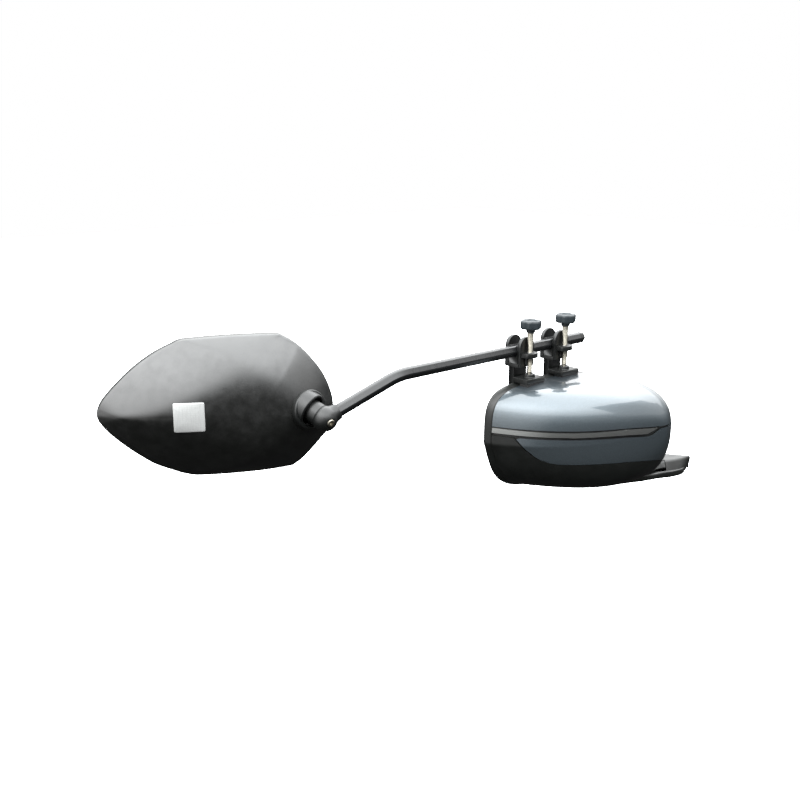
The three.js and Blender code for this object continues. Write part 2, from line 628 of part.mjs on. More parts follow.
function clampBody(x) {
  const block = box(x - 12, x + 12, -9, 9, -20, 7);
  const front = slab(archOutline(x, yoke.half, -20, yoke.top), -yoke.outer, -yoke.inner);
  const rear = slab(archOutline(x, yoke.half, -20, yoke.top), yoke.inner, yoke.outer);
  const foot = slab([[x - 14.5, -16], [x + 14.5, -16], [x + 14.5, -20.5], [x - 14.5, -20.5]], -11, 11);
  const spine = box(x - 13.5, x + 11.5, rimBackY + 1, 6, jaw.low, -19);
  const hook = box(x - 13.5, x + 11.5, -27, rimBackY + 2, jaw.low, jaw.top);
  const rib = box(x - 2.5, x + 2.5, 5, 10, -60, -19);
  const shelf = plate(lugOutline(x), lug.low, lug.top);
  const gusset = box(x - 2.5, x + 2.5, -17, -12, -17, lug.low + 1);
  const gussetCut = aim(rod(30, -10, 10, 0, 0, 4), new THREE.Vector3(1, 0, 0), new THREE.Vector3(x, -38, -26));
  const bar = fromRings([hexRing(new THREE.Vector3(x - 40, 0, 0), new THREE.Vector3(1, 0, 0), barFlats + 0.6),
    hexRing(new THREE.Vector3(x + 40, 0, 0), new THREE.Vector3(1, 0, 0), barFlats + 0.6)],
  new THREE.Vector3(x - 40, 0, 0), new THREE.Vector3(x + 40, 0, 0));
  const nutHole = rod(4.7, -40, 20, x, screwY, 24);
  const body = join(block, front, rear, foot, spine, hook, rib, shelf, cut(gusset, gussetCut));
  return cut(body, bar, nutHole);
}

function knobRings(x) {
  const profile = [[5.9, 26], [5.9, 29.2], [11.4, 30.2], [13.1, 31.8], [13.3, 39.4], [12.3, 41.4], [8.8, 41.8],
    [7.2, 40], [0, 39.2]];
  const rings = profile.slice(0, -1).map(([radius, z]) => {
    const lobes = radius > 9 ? 0.9 : 0;
    const ring = [];
    for (let k = 0; k < 30; k += 1) {
      const angle = (2 * Math.PI * k) / 30;
      const r = radius + lobes * Math.cos(6 * angle);
      ring.push(new THREE.Vector3(x + r * Math.cos(angle), screwY + r * Math.sin(angle), z));
    }
    return ring;
  });
  const [, topZ] = profile[profile.length - 1];
  return fromRings(rings, new THREE.Vector3(x, screwY, 26), new THREE.Vector3(x, screwY, topZ));
}

function clampParts(name, x) {
  add(`clamp_body_${name}`, clampBody(x), 'blackSatin');
  add(`jaw_rubber_${name}`, box(x - 9, x + 9, -26, rimBackY - 0.5, jaw.top + 0.2, jaw.top + 0.9), 'rubber');
  const bushBore = screwR + 0.06;
  const bushEnds = [lug.low - 0.5, lug.top + 0.5];
  const bush = [[bushBore, bushEnds[0]], [4.4, bushEnds[0]], [4.4, bushEnds[1]], [bushBore, bushEnds[1]],
    [bushBore, bushEnds[0]]];
  add(`screw_bush_${name}`, turned(bush, x, screwY, 0, 18), 'brass');
  const shaft = [[0, -34], [1.8, -33.4], [3.1, -31.6], [3.1, -29.8], [2.1, -28], [screwR, -27], [screwR, 6],
    [4.6, 25.5], [screwR, 25.7], [screwR, 37.6], [0, 37.6]];
  add(`clamp_screw_${name}`, turned(shaft, x, screwY, 0, 18), 'steel');
  add(`screw_knob_${name}`, cut(knobRings(x), rod(screwR + 0.05, 20, 37.9, x, screwY, 18)), 'greyKnob');
  const base = box(x - 17.8, x + 17.2, screwY - 12.4, screwY + 12.4, -38.6, -32.8);
  const boss = rod(7.4, -34, -28.6, x, screwY, 24);
  const seat = turned([[0, -34.4], [3.4, -34.4], [3.4, -20], [0, -20]], x, screwY, 0, 24);
  const pad = cut(join(base, boss), seat);
  const [bezelFront, bezelBack] = [rimFrontY - 1, rimBackY + 1];
  const bezelRoom = fromRings([domeRing(0, 2.8, bezelFront), domeRing(0, 3.6, bezelBack)],
    new THREE.Vector3(rim.x, bezelFront, rim.z), new THREE.Vector3(rim.x, bezelBack, rim.z));
  const surface = join(domeSolid(gap), bezelRoom);
  add(`pressure_pad_${name}`, pad, 'blackSatin');
  const rubber = box(x - 16.4, x + 16.4, screwY - 11.8, screwY + 11.8, -44, -38.9);
  add(`pad_rubber_${name}`, cut(rubber, surface), 'rubber');
}

function clamps() {
  Object.entries(clampX).forEach(([name, x]) => clampParts(name, x));
}

// Towing mirror head
const headFrame = headMatrix();

function headMatrix() {
  const yaw = THREE.MathUtils.degToRad(headYaw);
  const u = new THREE.Vector3(Math.cos(yaw), Math.sin(yaw), 0);
  const w = new THREE.Vector3(Math.sin(yaw), -Math.cos(yaw), 0);
  const v = new THREE.Vector3(0, 0, 1);
  const origin = ballAt.clone().addScaledVector(u, -ballInHead[0]).addScaledVector(v, -ballInHead[1])
    .addScaledVector(w, -ballInHead[2]);
  return new THREE.Matrix4().makeBasis(u, v, w).setPosition(origin);
}

function placeHead(geometry) {
  return geometry.clone().applyMatrix4(headFrame);
}

// Parts of the outline, by their first and last point, and how far from each the face takes to level out
const headTip = [{ from: 0, to: 7, reach: 125 }, { from: 26, to: 33, reach: 125 }];
const headBlunt = [
  { from: 7, to: 12, reach: 62 },
  { from: 12, to: 21, reach: 84 },
  { from: 21, to: 26, reach: 62 },
];
const headPoints = headOutline.map(([u, v]) => new THREE.Vector2(u * headScale[0], v * headScale[1]));

function distanceToLine(point, start, end) {
  const along = end.clone().sub(start);
  const share = point.clone().sub(start).dot(along) / along.lengthSq();
  return point.distanceTo(start.clone().addScaledVector(along, THREE.MathUtils.clamp(share, 0, 1)));
}

// How far the face has risen above one part of the outline, whose ends run on straight
function riseFrom({ from, to, reach }, point) {
  const line = headPoints.concat(headPoints[0]).slice(from, to + 1);
  const last = line.length - 1;
  const before = line[0].clone().lerp(line[1], -30);
  const after = line[last].clone().lerp(line[last - 1], -30);
  const path = [before, ...line, after];
  const distances = path.slice(1).map((end, i) => distanceToLine(point, path[i], end));
  return headDepth * (1 - (1 - Math.min(reach, ...distances) / reach) ** 2);
}

// The least of several values, rounded off where they are nearly equal
function softLeast(values, softnessAt) {
  const lowest = Math.min(...values);
  const softness = softnessAt(lowest);
  const total = values.reduce((sum, value) => sum + Math.exp((lowest - value) / softness), 0);
  return lowest - softness * Math.log(total);
}

// Depth of the head's face: it curves up from every part of the outline, and they blend towards the middle
function headRise(u, v) {
  const point = new THREE.Vector2(u, v);
  const blunt = softLeast(headBlunt.map((side) => riseFrom(side, point)), (lowest) => 9 - 8 * Math.exp(-lowest / 14));
  const sides = [blunt, ...headTip.map((side) => riseFrom(side, point))];
  return Math.max(0, softLeast(sides, (lowest) => 0.4 + 5 * (lowest / headDepth) ** 2));
}

// The head's outline shrunk to a share of its size and grown by a distance, on its face or at a fixed depth
function headRing(share, grow, depth) {
  return headPoints.map(({ x, y }) => {
    const away = new THREE.Vector2(x - headMiddle[0], y - headMiddle[1]);
    const bare = new THREE.Vector2(...headMiddle).addScaledVector(away, share);
    const spot = bare.clone().addScaledVector(away, (share * grow) / away.length());
    const rise = depth === undefined ? headRise(bare.x, bare.y) + Math.max(grow, -skin) : depth;
    return new THREE.Vector3(spot.x, spot.y, rise);
  });
}

const headShares = [0.16, 0.34, 0.5, 0.64, 0.76, 0.86, 0.94, 1];

function headMid(grow) {
  return new THREE.Vector3(headMiddle[0], headMiddle[1], headRise(...headMiddle) + grow);
}

function headSolid(grow, back) {
  const rings = headShares.map((share) => headRing(share, grow));
  rings.push(headRing(1, grow, back));
  return fromRings(rings, headMid(grow), new THREE.Vector3(headMiddle[0], headMiddle[1], back));
}

function headShell() {
  const inside = headSolid(-skin, -headRim - 5);
  return cut(headSolid(0, -headRim), inside);
}

function alongStem(geometry) {
  return aim(geometry, knuckleAt.clone().sub(ballAt), ballAt);
}

// Which way the head's face looks at a place on it
function faceNormal(at) {
  const { x: u, y: v } = at.clone().applyMatrix4(headFrame.clone().invert());
  const slopeU = (headRise(u + 2, v) - headRise(u - 2, v)) / 4;
  const slopeV = (headRise(u, v + 2) - headRise(u, v - 2)) / 4;
  return new THREE.Vector3(-slopeU, -slopeV, 1).transformDirection(headFrame);
}

function headParts() {
  const socketAt = ballAt.clone().lerp(knuckleAt, socketShare);
  const socketHole = alongStem(rod(17.6, -4, 40, 0, 0, 32));
  const cupRoom = sphere(13.3, ballAt, 20, 12);
  add('head_shell', cut(placeHead(headShell()), socketHole, cupRoom), 'blackMatt');
  const outside = placeHead(headSolid(gap, -headRim - 6));
  const ring = turned([[16.8, 2], [20, 2], [20, 13], [18.9, 14.2], [16.8, 14.2], [16.8, 2]], 0, 0, 0, 36);
  const foot = [[18, -6], [23.2, -6], [23.2, 0], [22.4, 1.2], [21.2, 1.6], [18, 1.6], [18, -6]];
  const flange = turned(foot, 0, 0, 0, 36);
  const bore = alongStem(rod(16.8, -10, 40, 0, 0, 36));
  const collar = join(alongStem(ring), aim(flange, faceNormal(socketAt), socketAt));
  add('socket_collar', biggest(cut(collar, outside, cupRoom, bore)), 'blackSatin');
  const mouth = alongStem(rod(9.4, 0, 30, 0, 0, 20));
  const cup = cut(sphere(12.9, ballAt, 20, 12), sphere(9.9, ballAt, 20, 12), mouth, alongStem(cylinderAbove(3.8)));
  add('socket_cup', cup, 'blackMatt');
  const ballRoom = sphere(ballR + 0.1, ballAt, 20, 14);
  const seat = cut(sphere(9.5, ballAt, 20, 12), ballRoom, alongStem(cylinderAbove(3)));
  add('ball_seat', seat, 'nylon');
  const glassRing = headRing(1, -skin - 0.8, -headRim + 1.5).map((p) => [p.x, p.y]);
  add('tow_glass', placeHead(plate(glassRing, -headRim + 1.2, -headRim + 3.2)), 'mirror');
  add('tow_glass_backing', placeHead(plate(glassRing, -headRim + 3.5, -headRim + 5)), 'blackMatt');
  const patch = toGeometry(toSolid(headSolid(1.3, -6)).intersect(toSolid(box(...reflectorBox, 0, 80))));
  add('reflector', placeHead(cut(patch, headSolid(gap, -8))), 'reflector');
}

function cylinderAbove(height) {
  return rod(30, height, height + 40, 0, 0, 24);
}

[housingSkins, rearBezel, indicatorParts, housingFrame, glassDrive, mirrorGlass, footParts, armParts,
  clamps, headParts].forEach((make) => make());

export default part;
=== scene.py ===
import math

import bpy
import numpy as np
from mathutils import Matrix, Vector


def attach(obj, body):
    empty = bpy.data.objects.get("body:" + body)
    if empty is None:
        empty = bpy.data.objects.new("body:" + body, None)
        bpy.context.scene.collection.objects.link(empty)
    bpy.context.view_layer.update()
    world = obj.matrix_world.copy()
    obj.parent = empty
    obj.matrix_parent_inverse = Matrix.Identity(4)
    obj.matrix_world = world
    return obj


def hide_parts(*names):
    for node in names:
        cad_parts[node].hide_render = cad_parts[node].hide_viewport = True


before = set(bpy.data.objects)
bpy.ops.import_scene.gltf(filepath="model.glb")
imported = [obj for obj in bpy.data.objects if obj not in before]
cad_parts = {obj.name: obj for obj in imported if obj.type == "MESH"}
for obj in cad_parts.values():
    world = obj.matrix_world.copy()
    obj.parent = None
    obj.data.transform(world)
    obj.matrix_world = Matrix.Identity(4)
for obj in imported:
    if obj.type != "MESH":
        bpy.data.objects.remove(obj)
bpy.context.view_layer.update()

# Lengths below are millimetres in the arm's frame: its origin is on the arm's axis at the outer clamp.
DOOR_FACE = np.array([270.0, -64.0, -187.0])
MM = 0.001


# ---------------------------------------------------------------- mesh helpers
def place(points):
    return (np.asarray(points, float) - DOOR_FACE) * MM


def make_piece(name, points, faces, material, body, slot, replaced=(), smooth=True):
    mesh = bpy.data.meshes.new(name)
    mesh.from_pydata([tuple(p) for p in place(points)], [], [tuple(int(i) for i in f) for f in faces])
    mesh.validate()
    mesh.polygons.foreach_set("use_smooth", [smooth] * len(mesh.polygons))
    piece = bpy.data.objects.new(name, mesh)
    bpy.context.scene.collection.objects.link(piece)
    piece.data.materials.append(material)
    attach(piece, body)
    if replaced:
        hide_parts(*replaced)
    return piece


def add_modifier(piece, kind, **settings):
    modifier = piece.modifiers.new(kind.title(), kind)
    for key, value in settings.items():
        setattr(modifier, key, value)
    return modifier


def thicken(piece, thickness, edge):
    add_modifier(piece, "SOLIDIFY", thickness=thickness * MM, offset=-1)
    soften(piece, edge)


def soften(piece, width, angle=35, segments=2):
    add_modifier(
        piece, "BEVEL", width=width * MM, segments=segments, limit_method="ANGLE",
        angle_limit=math.radians(angle), harden_normals=True,
    )


def soften_cad(node, width, angle=28):
    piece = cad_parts[node]
    add_modifier(piece, "WELD", merge_threshold=0.00002)
    soften(piece, width, angle, 3)
    piece.data.polygons.foreach_set("use_smooth", [True] * len(piece.data.polygons))
    return piece


def grid_faces(rows, columns, around=True):
    faces = []
    for i in range(rows - 1):
        for j in range(columns if around else columns - 1):
            k = (j + 1) % columns
            faces.append((i * columns + j, i * columns + k, (i + 1) * columns + k, (i + 1) * columns + j))
    return faces


def outward(points, faces, inside):
    """Faces turned so that they look away from a point inside."""
    pts = np.asarray(points)
    total = 0.0
    for face in faces:
        a, b, c = pts[face[0]], pts[face[1]], pts[face[2]]
        total += np.dot(np.cross(b - a, c - a), (a + b + c) / 3 - inside)
    return faces if total > 0 else [tuple(reversed(f)) for f in faces]


def clip(points, faces, keep):
    """Cuts a mesh where keep (one value per point) changes sign and drops the negative side."""
    points = [np.asarray(p, float) for p in points]
    keep = list(keep)
    made, kept_faces = {}, []
    for face in faces:
        values = [keep[i] for i in face]
        if max(values) <= 0:
            continue
        if min(values) >= 0:
            kept_faces.append(tuple(face))
            continue
        ring = []
        for here, there in zip(face, list(face[1:]) + [face[0]]):
            a, b = keep[here], keep[there]
            if a >= 0:
                ring.append(here)
            if (a > 0 > b) or (a < 0 < b):
                key = (min(here, there), max(here, there))
                if key not in made:
                    share = a / (a - b)
                    points.append(points[here] + share * (points[there] - points[here]))
                    keep.append(0.0)
                    made[key] = len(points) - 1
                ring.append(made[key])
        if len(ring) > 2:
            kept_faces.append(tuple(ring))
    used = sorted({i for f in kept_faces for i in f})
    renumber = {old: new for new, old in enumerate(used)}
    return np.array([points[i] for i in used]), [tuple(renumber[i] for i in f) for f in kept_faces]


def apply_modifiers(piece):
    """Makes the modifiers part of the mesh."""
    graph = bpy.context.evaluated_depsgraph_get()
    made = bpy.data.meshes.new_from_object(piece.evaluated_get(graph))
    piece.modifiers.clear()
    piece.data = made


def carve(piece, points, faces, operation="DIFFERENCE"):
    """Cuts a piece with a closed body given as points and faces, or keeps what the two share."""
    mesh = bpy.data.meshes.new("tool")
    mesh.from_pydata([tuple(p) for p in place(points)], [], [tuple(int(i) for i in f) for f in faces])
    tool = bpy.data.objects.new("tool", mesh)
    bpy.context.scene.collection.objects.link(tool)
    add_modifier(piece, "BOOLEAN", object=tool, operation=operation, solver="EXACT")
    apply_modifiers(piece)
    bpy.data.objects.remove(tool)
    bpy.data.meshes.remove(mesh)


def crisp(piece, angle=32):
    """Smooth shading that stays sharp where faces meet at more than an angle."""
    piece.data.polygons.foreach_set("use_smooth", [True] * len(piece.data.polygons))
    piece.data.set_sharp_from_angle(angle=math.radians(angle))


def closed_curve(knots, samples=10):
    """Points along a smooth closed curve through knots."""
    k = np.array(knots, float)
    p0, p1, p2, p3 = np.roll(k, 1, 0), k, np.roll(k, -1, 0), np.roll(k, -2, 0)
    out = []
    for t in np.linspace(0, 1, samples, endpoint=False):
        out.append(0.5 * (2 * p1 + (p2 - p0) * t + (2 * p0 - 5 * p1 + 4 * p2 - p3) * t**2
                          + (3 * p1 - p0 - 3 * p2 + p3) * t**3))
    return np.stack(out, axis=1).reshape(-1, 2)


def inside_by(outline, x, z):
    """How far points lie inside a closed outline; negative outside."""
    a, b = outline, np.roll(outline, -1, 0)
    best = np.full(len(x), 1e9)
    inside = np.zeros(len(x), bool)
    for (ax, az), (bx, bz) in zip(a, b):
        ex, ez = bx - ax, bz - az
        t = np.clip(((x - ax) * ex + (z - az) * ez) / (ex * ex + ez * ez), 0, 1)
        best = np.minimum(best, np.hypot(x - ax - t * ex, z - az - t * ez))
        if ez:
            inside ^= ((az > z) != (bz > z)) & (x < ax + (z - az) * ex / ez)
    return np.where(inside, best, -best)


def prism(outline, z0, z1):
    """Points and faces of an upright prism over a closed outline in X and Y."""
    n = len(outline)
    points = [(x, y, z) for z in (z0, z1) for x, y in outline]
    faces = [(i, (i + 1) % n, n + (i + 1) % n, n + i) for i in range(n)]
    faces += [tuple(reversed(range(n))), tuple(range(n, 2 * n))]
    volume = sum(x0 * y1 - x1 * y0 for (x0, y0), (x1, y1) in zip(outline, outline[1:] + outline[:1]))
    return points, faces if volume > 0 else [tuple(reversed(f)) for f in faces]


def through_rings(rings, start=None, end=None):
    """Points and faces of a closed body through rings of points; start and end close it."""
    rings = [np.asarray(ring, float) for ring in rings]
    n = len(rings[0])
    first = rings[0].mean(axis=0) if start is None else np.asarray(start, float)
    last = rings[-1].mean(axis=0) if end is None else np.asarray(end, float)
    points = np.vstack(rings + [first, last])
    faces = grid_faces(len(rings), n)
    row = (len(rings) - 1) * n
    for j in range(n):
        k = (j + 1) % n
        faces.append((len(points) - 2, k, j))
        faces.append((len(points) - 1, row + j, row + k))
    volume = sum(np.dot(points[f[0]], np.cross(points[f[i]], points[f[i + 1]])) for f in faces
                 for i in range(1, len(f) - 1))
    return points, faces if volume > 0 else [tuple(reversed(f)) for f in faces]


def smooth_line(knots, samples=40):
    """A function through knots (x, value) along a smooth curve, for x that only grows."""
    k = np.array(knots, float)
    k = np.vstack([2 * k[0] - k[1], k, 2 * k[-1] - k[-2]])
    xs, vs = [], []
    for i in range(1, len(k) - 2):
        t = np.linspace(0, 1, samples, endpoint=False)[:, None]
        p0, p1, p2, p3 = k[i - 1], k[i], k[i + 1], k[i + 2]
        q = 0.5 * (2 * p1 + (p2 - p0) * t + (2 * p0 - 5 * p1 + 4 * p2 - p3) * t**2
                   + (3 * p1 - p0 - 3 * p2 + p3) * t**3)
        xs.append(q[:, 0])
        vs.append(q[:, 1])
    xs, vs = np.append(np.concatenate(xs), k[-2, 0]), np.append(np.concatenate(vs), k[-2, 1])
    return lambda x: np.interp(x, np.maximum.accumulate(xs), vs)


def unit(v):
    v = np.asarray(v, float)
    return v / np.linalg.norm(v)


def axes_along(direction):
    """Two unit vectors at right angles to a direction."""
    w = unit(direction)
    u = unit(np.cross([0.0, 0.0, 1.0] if abs(w[2]) < 0.9 else [1.0, 0.0, 0.0], w))
    return u, np.cross(w, u), w


def lathe(profile, at, direction=(0, 0, 1), sides=48, radius_of=None):
    """Points and faces of a closed turned body; the profile is [radius, height] from axis to axis."""
    u, v, w = axes_along(direction)
    at = np.asarray(at, float)
    points, faces = [at + profile[0][1] * w], []
    inner = profile[1:-1]
    for r, h in inner:
        for j in range(sides):
            angle = 2 * math.pi * j / sides
            radius = radius_of(r, h, angle) if radius_of else r
            points.append(at + radius * (math.cos(angle) * u + math.sin(angle) * v) + h * w)
    points.append(at + profile[-1][1] * w)
    for i in range(len(inner) - 1):
        for j in range(sides):
            k = (j + 1) % sides
            a, b = 1 + i * sides, 1 + (i + 1) * sides
            faces.append((a + j, a + k, b + k, b + j))
    last = len(points) - 1
    for j in range(sides):
        k = (j + 1) % sides
        faces.append((0, 1 + k, 1 + j))
        faces.append((last, last - sides + j, last - sides + k))
    return np.array(points), outward(points, faces, np.mean(points, axis=0))


def ring_body(profile, at, direction=(0, 0, 1), sides=64):
    """Points and faces of a turned ring whose profile closes on itself."""
    u, v, w = axes_along(direction)
    at = np.asarray(at, float)
    rows = []
    for j in range(sides):
        angle = 2 * math.pi * j / sides
        out = math.cos(angle) * u + math.sin(angle) * v
        rows.append([at + r * out + h * w for r, h in profile])
    points = np.array(rows).reshape(-1, 3)
    n = len(profile)
    faces = []
    for j in range(sides):
        k = (j + 1) % sides
        for i in range(n):
            m = (i + 1) % n
            faces.append((j * n + i, j * n + m, k * n + m, k * n + i))
    after = [*profile[1:], profile[0]]
    area = sum(here[0] * there[1] - there[0] * here[1] for here, there in zip(profile, after))
    return points, faces if area > 0 else [tuple(reversed(f)) for f in faces]


def rounded(profile, radius=0.5, steps=3):
    """Rounds the corners of an open profile of [r, h] points, ends kept."""
    out = [profile[0]]
    for before, here, after in zip(profile, profile[1:], profile[2:]):
        here, before, after = (np.array(p, float) for p in (here, before, after))
        a, b = before - here, after - here
        la, lb = np.linalg.norm(a), np.linalg.norm(b)
        cut = min(radius, la * 0.45, lb * 0.45)
        start, end = here + a / la * cut, here + b / lb * cut
        for i in range(steps + 1):
            t = i / steps
            out.append(list((1 - t) ** 2 * start + 2 * t * (1 - t) * here + t**2 * end))
    out.append(profile[-1])
    return out


def soft_ring(profile, radius):
    """Rounds every corner of a closed profile."""
    return rounded([profile[-1], *profile, profile[0]], radius)[1:-1]


# ---------------------------------------------------------------- materials
def new_material(name):
    material = bpy.data.materials.new(name)
    material.use_nodes = True
    tree = material.node_tree
    return material, tree, tree.nodes["Principled BSDF"]


def node(tree, kind, **values):
    made = tree.nodes.new(kind)
    for key, value in values.items():
        if key in made.inputs:
            made.inputs[key].default_value = value
        else:
            setattr(made, key, value)
    return made


def colour_mix(tree, factor, low, high):
    mix = node(tree, "ShaderNodeMix", data_type="RGBA")
    mix.inputs[6].default_value = (*low, 1)
    mix.inputs[7].default_value = (*high, 1)
    tree.links.new(factor, mix.inputs[0])
    return mix.outputs[2]


def number_range(tree, value, low, high, start=0.0, end=1.0):
    limits = {"From Min": start, "From Max": end, "To Min": low, "To Max": high}
    mapped = node(tree, "ShaderNodeMapRange", **limits)
    tree.links.new(value, mapped.inputs["Value"])
    return mapped.outputs["Result"]


def object_point(tree):
    return node(tree, "ShaderNodeTexCoord").outputs["Object"]


def noise(tree, scale, detail=3.0, roughness=0.55):
    made = node(tree, "ShaderNodeTexNoise", Scale=scale, Detail=detail, Roughness=roughness)
    tree.links.new(object_point(tree), made.inputs["Vector"])
    return made.outputs["Fac"]


def bump(tree, height, strength, distance, onto=None):
    made = node(tree, "ShaderNodeBump", Strength=strength, Distance=distance)
    tree.links.new(height, made.inputs["Height"])
    if onto is not None:
        tree.links.new(onto, made.inputs["Normal"])
    return made.outputs["Normal"]


def moulded(name, base, rough, grain=0.04, grain_scale=1400, specular=0.5, dust=0.25):
    """Moulded plastic: fine grain, faint colour and gloss variation, lighter dust on upward faces."""
    material, tree, shader = new_material(name)
    patches = noise(tree, 38, 4)
    paler = [c * 1.25 + 0.0008 for c in base]
    worn = colour_mix(tree, number_range(tree, patches, 0, 1, 0.35, 0.7), base, paler)
    up = node(tree, "ShaderNodeSeparateXYZ")
    tree.links.new(node(tree, "ShaderNodeNewGeometry").outputs["Normal"], up.inputs[0])
    dusty = node(tree, "ShaderNodeMath", operation="MULTIPLY")
    tree.links.new(number_range(tree, up.outputs["Z"], 0, dust, 0.3, 1), dusty.inputs[0])
    tree.links.new(number_range(tree, noise(tree, 220, 5), 0.2, 1, 0.35, 0.7), dusty.inputs[1])
    mix = node(tree, "ShaderNodeMix", data_type="RGBA")
    mix.inputs[7].default_value = (*[c * 1.3 + 0.004 for c in base], 1)
    tree.links.new(dusty.outputs[0], mix.inputs[0])
    tree.links.new(worn, mix.inputs[6])
    tree.links.new(mix.outputs[2], shader.inputs["Base Color"])
    gloss = number_range(tree, noise(tree, 90, 4), rough - 0.05, rough + 0.07, 0.3, 0.7)
    tree.links.new(gloss, shader.inputs["Roughness"])
    fine = bump(tree, noise(tree, grain_scale, 2), grain, 0.0004)
    tree.links.new(bump(tree, noise(tree, 14, 2), 0.03, 0.003, fine), shader.inputs["Normal"])
    shader.inputs["Specular IOR Level"].default_value = specular
    return material


def car_paint(name, base, deep):
    """Metallic paint under clear coat: flakes tilt the base's normal, the coat stays smooth."""
    material, tree, shader = new_material(name)
    flakes = node(tree, "ShaderNodeTexVoronoi", Scale=2600.0)
    tree.links.new(object_point(tree), flakes.inputs["Vector"])
    sparkle = node(tree, "ShaderNodeSeparateColor")
    tree.links.new(flakes.outputs["Color"], sparkle.inputs[0])
    facing = node(tree, "ShaderNodeLayerWeight", Blend=0.35)
    flop = node(tree, "ShaderNodeMix", data_type="RGBA")
    tree.links.new(facing.outputs["Facing"], flop.inputs[0])
    flake_colours = [c * 0.82 for c in base], [c * 1.15 for c in base]
    tree.links.new(colour_mix(tree, sparkle.outputs[0], *flake_colours), flop.inputs[6])
    flop.inputs[7].default_value = (*deep, 1)
    tree.links.new(flop.outputs[2], shader.inputs["Base Color"])
    tree.links.new(number_range(tree, sparkle.outputs[1], 0.3, 0.46), shader.inputs["Roughness"])
    tree.links.new(bump(tree, sparkle.outputs[2], 0.08, 0.0002), shader.inputs["Normal"])
    peel = bump(tree, noise(tree, 260, 2), 0.012, 0.0006)
    tree.links.new(peel, shader.inputs["Coat Normal"])
    shader.inputs["Metallic"].default_value = 0.72
    shader.inputs["Coat Weight"].default_value = 1.0
    shader.inputs["Coat Roughness"].default_value = 0.04
    return material


def metal(name, base, rough, turned=False, spots=0.0):
    """Plated or turned metal with fine marks and slightly uneven gloss."""
    material, tree, shader = new_material(name)
    stain = noise(tree, 120, 5)
    stained = [c * (0.78 - spots) for c in base]
    colour = colour_mix(tree, number_range(tree, stain, 0, 1, 0.4, 0.75), base, stained)
    tree.links.new(colour, shader.inputs["Base Color"])
    gloss = number_range(tree, noise(tree, 300, 4), rough - 0.06, rough + 0.12, 0.3, 0.7)
    tree.links.new(gloss, shader.inputs["Roughness"])
    if turned:
        lines = node(tree, "ShaderNodeTexWave", bands_direction="Z", Scale=900.0, Distortion=1.5)
        tree.links.new(object_point(tree), lines.inputs["Vector"])
        tree.links.new(bump(tree, lines.outputs["Fac"], 0.05, 0.0002), shader.inputs["Normal"])
    else:
        tree.links.new(bump(tree, noise(tree, 900, 3), 0.04, 0.0002), shader.inputs["Normal"])
    shader.inputs["Metallic"].default_value = 1.0
    return material


def rubbery(name, base):
    material, tree, shader = new_material(name)
    bloom = [c * 1.7 + 0.004 for c in base]
    tree.links.new(colour_mix(tree, noise(tree, 160, 5), base, bloom), shader.inputs["Base Color"])
    tree.links.new(bump(tree, noise(tree, 700, 4), 0.15, 0.0006), shader.inputs["Normal"])
    shader.inputs["Roughness"].default_value = 0.82
    return material


def lens_material():
    """Clear moulding over a ribbed bright reflector."""
    material, tree, shader = new_material("lens_clear")
    ribs = node(tree, "ShaderNodeTexWave", bands_direction="Z", Scale=420.0, Distortion=0.0)
    tree.links.new(object_point(tree), ribs.inputs["Vector"])
    colour = colour_mix(tree, ribs.outputs["Fac"], (0.20, 0.205, 0.20), (0.32, 0.33, 0.32))
    tree.links.new(colour, shader.inputs["Base Color"])
    tree.links.new(bump(tree, ribs.outputs["Fac"], 0.12, 0.0005), shader.inputs["Normal"])
    shader.inputs["Metallic"].default_value = 0.9
    shader.inputs["Roughness"].default_value = 0.3
    shader.inputs["Coat Weight"].default_value = 1.0
    shader.inputs["Coat Roughness"].default_value = 0.03
    return material


def reflector_material():
    """Retroreflective sheet: a fine cell pattern under a smooth top film."""
    material, tree, shader = new_material("reflector_sheet")
    cells = node(tree, "ShaderNodeTexVoronoi", feature="DISTANCE_TO_EDGE", Scale=420.0, Randomness=0.25)
    tree.links.new(object_point(tree), cells.inputs["Vector"])
    walls = number_range(tree, cells.outputs["Distance"], 0, 1, 0.02, 0.12)
    colour = colour_mix(tree, walls, (0.33, 0.335, 0.33), (0.37, 0.375, 0.37))
    tree.links.new(colour, shader.inputs["Base Color"])
    tree.links.new(bump(tree, walls, 0.08, 0.0003), shader.inputs["Normal"])
    shader.inputs["Roughness"].default_value = 0.42
    shader.inputs["Coat Weight"].default_value = 0.6
    shader.inputs["Coat Roughness"].default_value = 0.12
    return material


def mirror_material(name, tint):
    material, tree, shader = new_material(name)
    haze = noise(tree, 60, 5)
    tree.links.new(number_range(tree, haze, 0.012, 0.05, 0.45, 0.8), shader.inputs["Roughness"])
    tree.links.new(colour_mix(tree, haze, tint, [c * 0.97 for c in tint]), shader.inputs["Base Color"])
    shader.inputs["Metallic"].default_value = 1.0
    return material


def board_material():
    material, tree, shader = new_material("circuit_board")
    tracks = node(tree, "ShaderNodeTexBrick", Scale=260.0)
    tracks.inputs["Color1"].default_value = (0.02, 0.10, 0.04, 1)
    tracks.inputs["Color2"].default_value = (0.03, 0.14, 0.05, 1)
    tracks.inputs["Mortar"].default_value = (0.35, 0.26, 0.08, 1)
    tree.links.new(object_point(tree), tracks.inputs["Vector"])
    tree.links.new(tracks.outputs["Color"], shader.inputs["Base Color"])
    shader.inputs["Roughness"].default_value = 0.4
    return material


